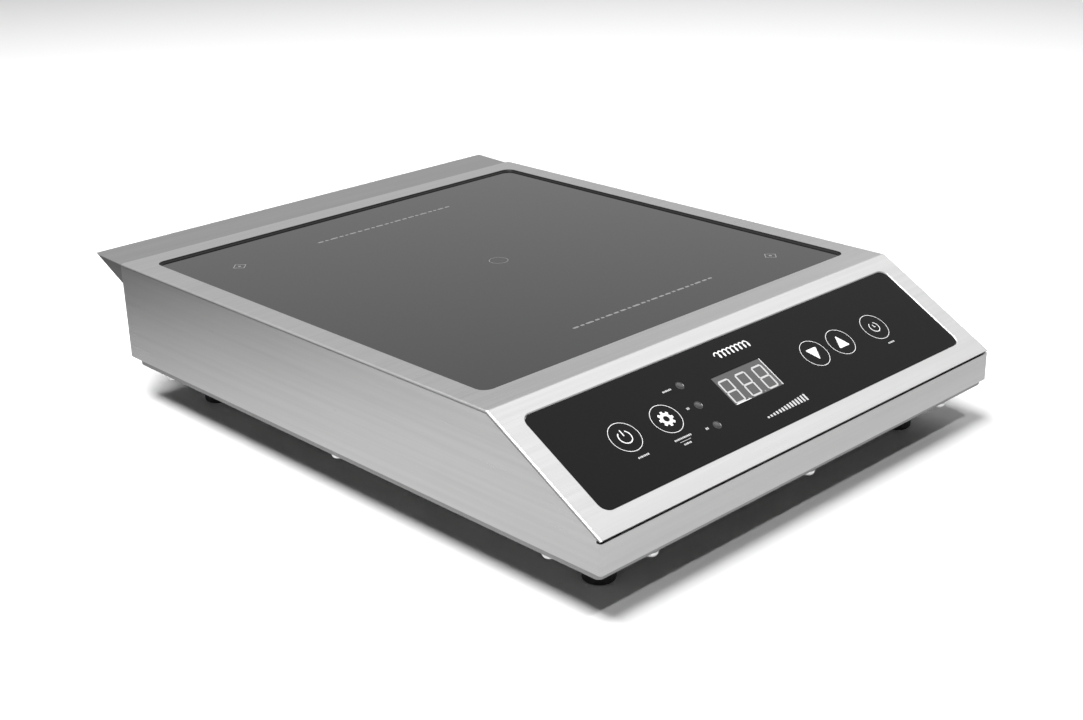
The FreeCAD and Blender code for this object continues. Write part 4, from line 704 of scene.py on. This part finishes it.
# %% [markdown]
# ## The key symbols
# Each key wears a thin white ring and a symbol: a broken ring with a bar for power, a cog for the
# settings, two triangles, and a broken ring with a small mark for the timer. They are plain
# industry symbols. Each is a very thin solid that rides on its own key, so it moves when the key
# is pressed.

# %% Symbols
PRINT = 0.03
STROKE = 0.3


def symbol_ring(bm, radius, stroke, gap=0.0, facing=90.0, steps=64):
    """A ring, or one with a gap that faces an angle."""
    if gap:
        start, end = facing + gap / 2, facing + 360 - gap / 2
        outer, inner = arc(radius, start, end, steps), arc(radius - stroke, start, end, steps)
    else:
        outer, inner = circle(radius, steps), circle(radius - stroke, steps)
    band(bm, outer, inner, 0, PRINT, closed=not gap)


def power_symbol(bm):
    symbol_ring(bm, 3.95, 0.6, gap=70)
    slab(bm, rounded(0.6, 3.9, 0.28, 4, y=2.6), 0, PRINT)


def cog_symbol(bm):
    teeth, tip, root, hole = 8, 4.6, 3.45, 1.75
    outline = []
    for tooth in range(teeth):
        middle = 360 / teeth * tooth + 90
        for angle, radius in ((-14, root), (-9, tip), (9, tip), (14, root)):
            outline += arc(radius, middle + angle, middle + angle, 1)[:1]
    inner = [(x * hole / math.hypot(x, y), y * hole / math.hypot(x, y)) for x, y in outline]
    band(bm, outline, inner, 0, PRINT)


def triangle_symbol(bm, tip):
    """A solid triangle with slightly round corners; tip is 1 upwards and -1 downwards."""
    half_base, low, high, corner = 3.5, -3.0, 3.6, 0.45
    outline = []
    for x, y, middle in ((0, high, 90), (-half_base, low, 210), (half_base, low, 330)):
        outline += arc(corner, middle - 60, middle + 60, 4, x, y)
    slab(bm, [(x, y * tip) for x, y in outline], 0, PRINT)


def timer_symbol(bm):
    symbol_ring(bm, 3.5, 0.5, gap=60)
    slab(bm, rounded(0.5, 1.9, 0.24, 4, y=0.7), 0, PRINT)
    slab(bm, rounded(1.3, 0.5, 0.24, 4, x=0.4), 0, PRINT)


SYMBOLS = {
    "power": power_symbol,
    "mode": cog_symbol,
    "down": lambda bm: triangle_symbol(bm, -1),
    "up": lambda bm: triangle_symbol(bm, 1),
    "timer": timer_symbol,
}
for key, (u, v) in key_place.items():
    drawing = bmesh.new()
    symbol_ring(drawing, KEY_RADIUS - 0.06, STROKE)
    SYMBOLS[key](drawing)
    place = PANEL @ Matrix.Translation((u * MM, v * MM, 0))
    make_piece(f"{key}_key_symbol", drawing, f"{key}_button", "white_ink", place)
print("symbols on", list(SYMBOLS))

# %% [markdown]
# ## The marks on the film
# The real panel also carries a name and small words. They are replaced by marks that say nothing:
# rows of short bars in the words' places, a row of loops like the drawing of a coil where the
# name was, and a row of rising level bars. They keep the panel's rhythm of light and dark.

# %% Words as rows of bars
WORD_WIDTHS = (0.75, 0.6, 0.95, 0.55, 0.8, 0.65, 0.9, 0.6, 0.75, 0.85)


def bar_row(bm, x, y, length, height):
    """A row of small upright bars of uneven widths, centred on a point."""
    gap, at, number = 0.32, 0.0, 0
    bars = []
    while at < length:
        width = WORD_WIDTHS[number % len(WORD_WIDTHS)]
        bars.append((at + width / 2, width))
        at += width + gap
        number += 1
    for middle, width in bars:
        slab(bm, rounded(width, height, 0.2, 3, x - (at - gap) / 2 + middle, y), 0, PRINT)


def loop_row(bm, x, y, length, height, turns, stroke):
    """A line that coils along, like the drawing of an inductor."""
    steps = turns * 28
    pitch = length / (turns + 0.5)
    line = []
    for i in range(steps + 1):
        turn = 2 * math.pi * turns * i / steps + math.pi / 2
        along = pitch * turn / (2 * math.pi) - pitch * 0.62 * math.sin(turn) / 2
        line.append(Vector((along, -height / 2 * math.cos(turn))))
    middle = (line[0] + line[-1]) / 2
    sides = ([], [])
    for i, point in enumerate(line):
        run = line[min(i + 1, steps)] - line[max(i - 1, 0)]
        across = Vector((-run.y, run.x)).normalized() * stroke / 2
        for side, sign in zip(sides, (1, -1)):
            side.append(tuple(point - middle + across * sign + Vector((x, y))))
    band(bm, sides[0], sides[1], 0, PRINT, closed=False)


def level_bars(bm, x, y, length, low, high, count):
    """Bars that rise from left to right."""
    pitch = length / count
    for i in range(count):
        tall = low + (high - low) * i / (count - 1)
        centre = x - length / 2 + pitch * (i + 0.5)
        slab(bm, rounded(pitch * 0.55, tall, 0.25, 3, centre, y - high / 2 + tall / 2), 0, PRINT)


WORD_HEIGHT, LETTER_HEIGHT = 1.0, 1.3
WORDS = (
    (-98.3, -12.7, 6.6, WORD_HEIGHT),  # under the power key
    (-71.2, -12.6, 11.0, WORD_HEIGHT),  # under the settings key
    (-71.3, -16.2, 5.2, WORD_HEIGHT),  # below the thin line
    (-57.4, 13.4, 6.0, WORD_HEIGHT),  # beside the upper lamp
    (-55.1, 0.2, 1.6, LETTER_HEIGHT),  # beside the middle lamp
    (-54.9, -13.5, 1.6, LETTER_HEIGHT),  # beside the lower lamp
    (96.7, -12.4, 4.6, WORD_HEIGHT),  # under the timer key
)
LINE_LENGTH, LINE_THICK, LINE_AT = 7.5, 0.22, (-71.2, -14.4)

panel_marks = bmesh.new()
for word in WORDS:
    bar_row(panel_marks, *word)
slab(panel_marks, rounded(LINE_LENGTH, LINE_THICK, 0.1, 2, *LINE_AT), 0, PRINT)
make_piece("panel_marks", panel_marks, "housing", "soft_ink", PANEL)

panel_emblem = bmesh.new()
loop_row(panel_emblem, -2.0, 20.6, 27.0, 3.9, 8, 0.7)
make_piece("coil_emblem", panel_emblem, "housing", "white_ink", PANEL)

level_scale = bmesh.new()
level_bars(level_scale, -2.0, -20.2, 33.0, 1.1, 4.2, 14)
make_piece("level_scale", level_scale, "housing", "soft_ink", PANEL)
print("marks laid on the film")

# %% [markdown]
# ## The display and the indicator lamps
# Behind the film sits a three-digit, seven-segment display. Its face is a little below the film,
# so the opening's rim throws a thin shadow at the top. Where the pane's cut edge catches light
# along the right and part of the bottom, thin strips of white ink paint that highlight on. Each
# digit is seven mitred bars of pale plastic.
# Each lamp is a small domed lens in its own hole. These pieces replace the plain panes.

# %% The display
module_u, module_v = spread("display_module", RIGHT), spread("display_module", UP_SLOPE)
WINDOW_GAP = 0.1
window_width = module_u[1] - module_u[0] + 2 * WINDOW_GAP
window_height = module_v[1] - module_v[0] + 2 * WINDOW_GAP
window_at = sum(module_u) / 2, sum(module_v) / 2 - MID_V
SUNK, RAISED = 0.22, 0.05
DIGIT_HEIGHT, DIGIT_WIDTH, DIGIT_PITCH = 15.4, 8.0, 12.7
DIGITS_LEFT, DIGITS_LOW, POINT, POINT_BESIDE = 0.9, 1.3, 0.9, 1.6
SEGMENT, SPLIT, SLANT = 1.05, 0.08, math.radians(2.0)


def segment(bm, x, y, length, upright, level):
    """One mitred bar of a digit."""
    half, point = length / 2, SEGMENT / 2
    outline = [(-half, 0), (-half + point, -point), (half - point, -point)]
    outline += [(half, 0), (half - point, point), (-half + point, point)]
    if upright:
        outline = [(-b, a) for a, b in outline]
    slanted = [(x + a + (y + b) * math.tan(SLANT), y + b) for a, b in outline]
    slab(bm, slanted, level, level + RAISED)


def digit(bm, x, level):
    """Seven bars."""
    wide, tall = DIGIT_WIDTH - SEGMENT, (DIGIT_HEIGHT - SEGMENT) / 2
    for row in (-1, 0, 1):
        segment(bm, x, row * tall, wide - SPLIT, False, level)
    for side in (-1, 1):
        for half in (-1, 1):
            segment(bm, x + side * wide / 2, half * tall / 2, tall - SPLIT, True, level)


def on_panel(u, v, w=0.0):
    """A place on the panel, given from the film's middle."""
    return PANEL @ Matrix.Translation((u * MM, v * MM, w * MM))


face = bmesh.new()
slab(face, rounded(window_width, window_height, 0.3, 3), -FILM_THICK, -SUNK)
window_place = on_panel(*window_at)
display_face = make_piece(
    "display_face", face, "housing", "display_face", window_place
)
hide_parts("tinted_windows")

digits, points = bmesh.new(), bmesh.new()
for number in (-1, 0, 1):
    middle = number * DIGIT_PITCH - DIGITS_LEFT
    digit(digits, middle, -SUNK)
    point_at = middle + DIGIT_WIDTH / 2 + POINT_BESIDE, (POINT - DIGIT_HEIGHT) / 2
    slab(points, rounded(POINT, POINT, 0.2, 3, *point_at), -SUNK, RAISED - SUNK)
digits_at = on_panel(window_at[0], window_at[1] - DIGITS_LOW)
make_piece("display_segments", digits, "housing", "segment_plastic", digits_at)
make_piece("display_points", points, "housing", "point_plastic", digits_at)

# The white-ink strips are a painted highlight where the pane's cut edge catches light, not print.
LINE, LINE_INSET, LINE_RAISED, LINE_CORNER = 0.4, 0.75, 0.08, (0.15, 3)
edge_highlight = bmesh.new()
right_line = rounded(LINE, window_height - 0.2, *LINE_CORNER, window_width / 2 - LINE_INSET)
low_line = rounded(
    window_width * 0.3, LINE, *LINE_CORNER, -window_width * 0.33, LINE - window_height / 2
)
for outline in (right_line, low_line):
    slab(edge_highlight, outline, -SUNK, -SUNK + LINE_RAISED)
make_piece("display_edge", edge_highlight, "housing", "white_ink", window_place)
print("display window", round(window_width, 1), "x", round(window_height, 1), "mm")

# %% The lamps
lamps_v = spread("indicator_lamps", UP_SLOPE)
lamps_u = spread("indicator_lamps", RIGHT)
LAMP_RADIUS = 2.42
lamp_u = sum(lamps_u) / 2
lamp_middle = sum(lamps_v) / 2 - MID_V
lamp_pitch = (lamps_v[1] - lamps_v[0] - (lamps_u[1] - lamps_u[0])) / 2
dome = [(LAMP_RADIUS, -FILM_THICK), (LAMP_RADIUS, -0.16), (LAMP_RADIUS - 0.12, 0.0)]
dome += [(LAMP_RADIUS - 0.3, 0.02), (LAMP_RADIUS - 0.5, -0.14), (LAMP_RADIUS * 0.6, 0.06)]
dome += [(LAMP_RADIUS * 0.3, 0.16), (0, 0.2)]
for number, name in enumerate(("lower", "middle", "upper")):
    drawing = bmesh.new()
    lathe(drawing, [(0, -FILM_THICK)] + dome, 40)
    place = on_panel(lamp_u, lamp_middle + (number - 1) * lamp_pitch)
    make_piece(
        f"{name}_lamp_window", drawing, "housing", "tinted_window", place
    )
print("lamps every", round(lamp_pitch, 1), "mm")

# %% [markdown]
# ## The silicone round the glass
# The glass is bonded under the steel, and the gap between them is filled with black silicone
# smoothed by a fingertip, so its face is a hollow curve from the steel's edge down to the glass.
# A profile carried round a rounded rectangle makes it: each point of the profile is one closed
# loop, and neighbouring loops are joined.

# %% The bead
seal = [v.co / MM for v in frame["nodes"]["glass_seal"].data.vertices]
bead_top = max(p.z for p in seal)
crown = [p for p in seal if p.z > bead_top - 0.01]
opening_x = max(p.x for p in crown) - min(p.x for p in crown)
opening_y = max(p.y for p in crown) - min(p.y for p in crown)
opening_mid = (max(p.y for p in crown) + min(p.y for p in crown)) / 2
bond_low = min(p.z for p in seal)
skirt = (max(p.x for p in seal) - min(p.x for p in seal) - opening_x) / 2
glass_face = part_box("glass_top")[1].z / MM
CORNER, BOND, FOOT, INNER = 6.0, 0.5, 1.75, 1.25
FILM_LEFT = 0.03


def bead_profile():
    """Distance in from the opening's edge and height, once round the section."""
    drop, steps = bead_top - glass_face, 6
    hollow = []
    for i in range(steps + 1):
        turn = math.pi / 2 * i / steps
        inward = FOOT * (1 - math.cos(turn)) ** 0.8
        hollow.append((inward, glass_face + FILM_LEFT + drop * (1 - math.sin(turn)) ** 1.3))
    outside = [(-skirt, bond_low), (-skirt, bond_low + BOND), (0.0, bond_low + BOND)]
    return outside + hollow + [(INNER, glass_face), (INNER, bond_low)]


def silicone_bead():
    """The bead's section carried round the opening."""
    bm = bmesh.new()
    rings = []
    for inward, level in bead_profile():
        width, height = opening_x - 2 * inward, opening_y - 2 * inward
        rings.append(loop(bm, rounded(width, height, CORNER - inward, 10), level))
    for i, ring in enumerate(rings):
        walls(bm, ring, rings[(i + 1) % len(rings)])
    place = Matrix.Translation((0, opening_mid * MM, 0))
    bead = make_piece(
        "silicone_round_glass", bm, "housing", "silicone_bead", place
    )
    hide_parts("glass_seal")


silicone_bead()
print("bead round an opening of", round(opening_x, 1), "x", round(opening_y, 1), "mm")

# %% [markdown]
# ## The marks on the glass
# The plate is printed in faint grey: a small ring where the pan is centred, a row of text along
# the front and another along the rear, and a symbol at each side. The text and the warning
# symbols are replaced by rows of dashes and small plain diamonds.

# %% Glass marks
DASHES = (4.2, 2.6, 5.4, 3.1, 2.2, 4.8, 3.6)


def dash_row(bm, y, start, end, height):
    """A row of dashes of uneven lengths between two places along X."""
    x, number = start, 0
    while x < end:
        width = min(DASHES[number % len(DASHES)], end - x)
        if width > height:
            slab(bm, rounded(width, height, height * 0.45, 3, x + width / 2, y), 0, PRINT)
        x += width + DASH_GAP
        number += 1


def diamond(bm, x, y, size, stroke):
    """The outline of a square that stands on its corner, with a dot in it."""
    corners = ((0, 1), (-1, 0), (0, -1), (1, 0))
    outer = [(x + a * size, y + b * size) for a, b in corners]
    inner = [(x + a * (size - stroke), y + b * (size - stroke)) for a, b in corners]
    band(bm, outer, inner, 0, PRINT)
    slab(bm, circle(size * 0.22, 20, x, y), 0, PRINT)


DASH_HEIGHT, DASH_GAP = 1.6, 1.3
DASH_ROWS = ((-109.3, -50, 58), (104.1, -50, 56))
DIAMONDS, DIAMOND_SIZE, DIAMOND_STROKE = ((-107, 102), (110, -109)), 4.6, 0.8
CENTRE_RING = 5.6, 0.4

glass_marks = bmesh.new()
symbol_ring(glass_marks, *CENTRE_RING)
for row in DASH_ROWS:
    dash_row(glass_marks, *row, DASH_HEIGHT)
for x, y in DIAMONDS:
    diamond(glass_marks, x, y, DIAMOND_SIZE, DIAMOND_STROKE)
glass_place = Matrix.Translation((0, opening_mid * MM, glass_face * MM))
make_piece("glass_marks", glass_marks, "housing", "glass_ink", glass_place)
print("marks printed on the glass")

# %% [markdown]
# ## Feet and screws
# The case stands on four moulded rubber feet, and pan-head screws hold the tray below it. Both
# are round, so both are turned: the foot has a flared top, a waist and a soft lower edge round
# its sunk screw, and the screw's head is a low dome. The cross in the head is cut with a boolean,
# the one shape here that a lathe can't make.

# %% Rubber feet


def rubber_foot(name):
    """A foot turned to the size of its part in the design."""
    low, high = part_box(name)
    top = (high.x - low.x) / 2 / MM
    tall = (high.z - low.z) / MM
    sink, bore, depth = 5.2, 2.7, 5.0
    edge = top - 2.3
    profile = [(bore, depth), (sink, depth), (sink, 0.5), (sink + 0.4, 0.0), (edge - 1.4, 0.0)]
    profile += [(edge - 0.6, 0.2), (edge - 0.1, 0.7), (edge, 1.5), (edge + 0.1, 4.0)]
    profile += [(edge + 0.1, 4.6), (edge - 0.25, 5.0), (edge - 0.25, 5.6), (edge + 0.2, 6.0)]
    profile += [(edge + 1.2, tall - 5.0), (top - 0.3, tall - 3.4), (top, tall - 2.6)]
    profile += [(top, tall), (bore, tall)]
    bm = bmesh.new()
    lathe(bm, profile, 56, closed=True)
    middle = (low + high) / 2
    foot = make_piece(f"{name}_rubber", bm, "housing", "foot_rubber",
                      Matrix.Translation((middle.x, middle.y, low.z)))
    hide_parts(name)


FEET = [name for name in sorted(frame["nodes"]) if slot_of[name] == "foot_rubber"]
for name in FEET:
    rubber_foot(name)
print("feet:", FEET)

# %% Pan-head screws


def islands(name):
    """The middle of each separate solid of a part, by walking its connected vertices."""
    bm = bmesh.new()
    bm.from_mesh(frame["nodes"][name].data)
    bmesh.ops.remove_doubles(bm, verts=bm.verts, dist=1e-6)
    left, found = set(bm.verts), []
    while left:
        reached, edge = set(), [left.pop()]
        while edge:
            vert = edge.pop()
            reached.add(vert)
            for link in vert.link_edges:
                other = link.other_vert(vert)
                if other in left:
                    left.discard(other)
                    edge.append(other)
        corners = [v.co for v in reached]
        low = Vector(min(c[i] for c in corners) for i in range(3))
        high = Vector(max(c[i] for c in corners) for i in range(3))
        found.append(((low.x + high.x) / 2, (low.y + high.y) / 2, low.z, high.z))
    bm.free()
    return sorted((round(x, 6), round(y, 6), round(z, 6), round(t, 6)) for x, y, z, t in found)


def cross(reach, half):
    """The outline of a plus sign."""
    points = []
    for x, y in ((1, 0), (0, 1), (-1, 0), (0, -1)):
        points.append((x * reach + y * half, y * reach - x * half))
        points.append((x * reach - y * half, y * reach + x * half))
        points.append(((x - y) * half, (x + y) * half))
    return points


def cross_cutter():
    """A tapered plus, the shape of a screwdriver's tip."""
    bm = bmesh.new()
    low, high = loop(bm, cross(1.9, 0.4), -1.0), loop(bm, cross(0.8, 0.25), 1.3)
    bm.faces.new(low)
    bm.faces.new(high)
    walls(bm, low, high)
    bmesh.ops.recalc_face_normals(bm, faces=bm.faces)
    mesh = bpy.data.meshes.new("cross_cutter")
    bm.to_mesh(mesh)
    bm.free()
    return bpy.data.objects.new("cross_cutter", mesh)


def screw_mesh(tall):
    """One screw with its head downwards and a cross cut in it."""
    bm = bmesh.new()
    head, deep, shank = 4.0, 2.8, 1.95
    profile = [(0, 0.0), (1.6, 0.03), (2.6, 0.2), (3.3, 0.55), (3.8, 1.15), (head, 1.8)]
    profile += [(head, deep - 0.2), (head - 0.2, deep), (shank, deep)]
    profile += [(shank, tall - 0.5), (shank - 0.5, tall), (0, tall)]
    lathe(bm, profile, 40)
    bmesh.ops.recalc_face_normals(bm, faces=bm.faces)
    mesh = bpy.data.meshes.new("screw")
    bm.to_mesh(mesh)
    bm.free()
    screw = bpy.data.objects.new("screw", mesh)
    cutter = cross_cutter()
    for helper in (screw, cutter):
        scene.collection.objects.link(helper)
    cut = screw.modifiers.new("cross", "BOOLEAN")
    cut.operation = "DIFFERENCE"
    cut.object = cutter
    cut.solver = "EXACT"
    graph = bpy.context.evaluated_depsgraph_get()
    finished = bpy.data.meshes.new_from_object(screw.evaluated_get(graph))
    for helper in (screw, cutter):
        bpy.data.objects.remove(helper)
    return finished


TURN_EACH = 0.7
screw_places = islands("pan_screws")
one_screw = screw_mesh((screw_places[0][3] - screw_places[0][2]) / MM)
screws = bmesh.new()
for number, (x, y, low, _) in enumerate(screw_places):
    turned = one_screw.copy()
    stand = Matrix.Translation((x / MM, y / MM, low / MM))
    turned.transform(stand @ Matrix.Rotation(number * TURN_EACH, 4, "Z"))
    screws.from_mesh(turned)
    bpy.data.meshes.remove(turned)
pan_heads = make_piece(
    "pan_head_screws", screws, "housing", "pan_screw_steel"
)
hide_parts("pan_screws")
print(len(screw_places), "screws")

# %% [markdown]
# ## The cord inlet
# The mains lead would pass through a nylon gland in the rear wall. Its cap has grip ribs so that
# it can be turned by hand, and a rubber ring inside that would close on the lead. No lead is
# modelled, so the ring is seen open. The ribs are a lathe ring whose radius follows a cosine.

# %% The gland's ribbed cap
low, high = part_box("cord_gland")
gland_at = Vector(((low.x + high.x) / 2, high.y, (low.z + high.z) / 2))
gland_long = (high.y - low.y) / MM
FLANGE, CAP, BARREL, BORE = (high.x - low.x) / 2 / MM, 9.0, 8.0, 4.5
RIBS, RIB_DEPTH, RIB_STEPS = 18, 0.45, 108


def ribbed(radius, share):
    """A circle whose radius swells and shrinks round its ribs."""
    points = []
    for i in range(RIB_STEPS):
        turn = 2 * math.pi * i / RIB_STEPS
        reach = radius - RIB_DEPTH * share * (0.5 - 0.5 * math.cos(RIBS * turn))
        points.append((reach * math.cos(turn), reach * math.sin(turn)))
    return points


def gland():
    """The whole gland, drawn along Z with its outer end at zero and its inner end below."""
    bm = bmesh.new()
    inner = -gland_long
    sections = [
        (BORE, inner, 0), (BARREL - 0.4, inner, 0), (BARREL, inner + 0.5, 0), (BARREL, -15.0, 0),
        (FLANGE - 0.3, -15.0, 0), (FLANGE, -14.7, 0), (FLANGE, -11.4, 0), (FLANGE - 0.4, -11.0, 0),
        (CAP - 0.4, -10.8, 0), (CAP - 0.3, -10.4, 0), (CAP, -9.8, 1), (CAP, -3.2, 1),
        (CAP - 0.6, -2.2, 0.6), (CAP - 1.8, -0.6, 0), (CAP - 2.6, 0.0, 0), (BORE + 0.5, 0.0, 0),
        (BORE, -0.5, 0),
    ]
    rings = [loop(bm, ribbed(radius, share), level) for radius, level, share in sections]
    for i, ring in enumerate(rings):
        walls(bm, ring, rings[(i + 1) % len(rings)])
    outward = Matrix.Translation(gland_at) @ Matrix.Rotation(math.radians(-90), 4, "X")
    piece = make_piece("ribbed_gland", bm, "housing", "gland_nylon", outward)
    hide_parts("cord_gland")
    return outward


gland_frame = gland()
ring = bmesh.new()
section = [(BORE - 1.0, -6.0), (BORE, -6.4), (BORE, -3.6), (BORE - 1.0, -4.0), (BORE - 1.3, -5.0)]
lathe(ring, section, 48, closed=True)
make_piece("gland_ring", ring, "housing", "foot_rubber", gland_frame)
print("gland", round(gland_long, 1), "mm long")

# %% Measure and finish
shown_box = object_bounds()
for label, (lowest, highest) in (("design", cad_box), ("shown", shown_box)):
    print(label, [round(x, 4) for x in highest - lowest])
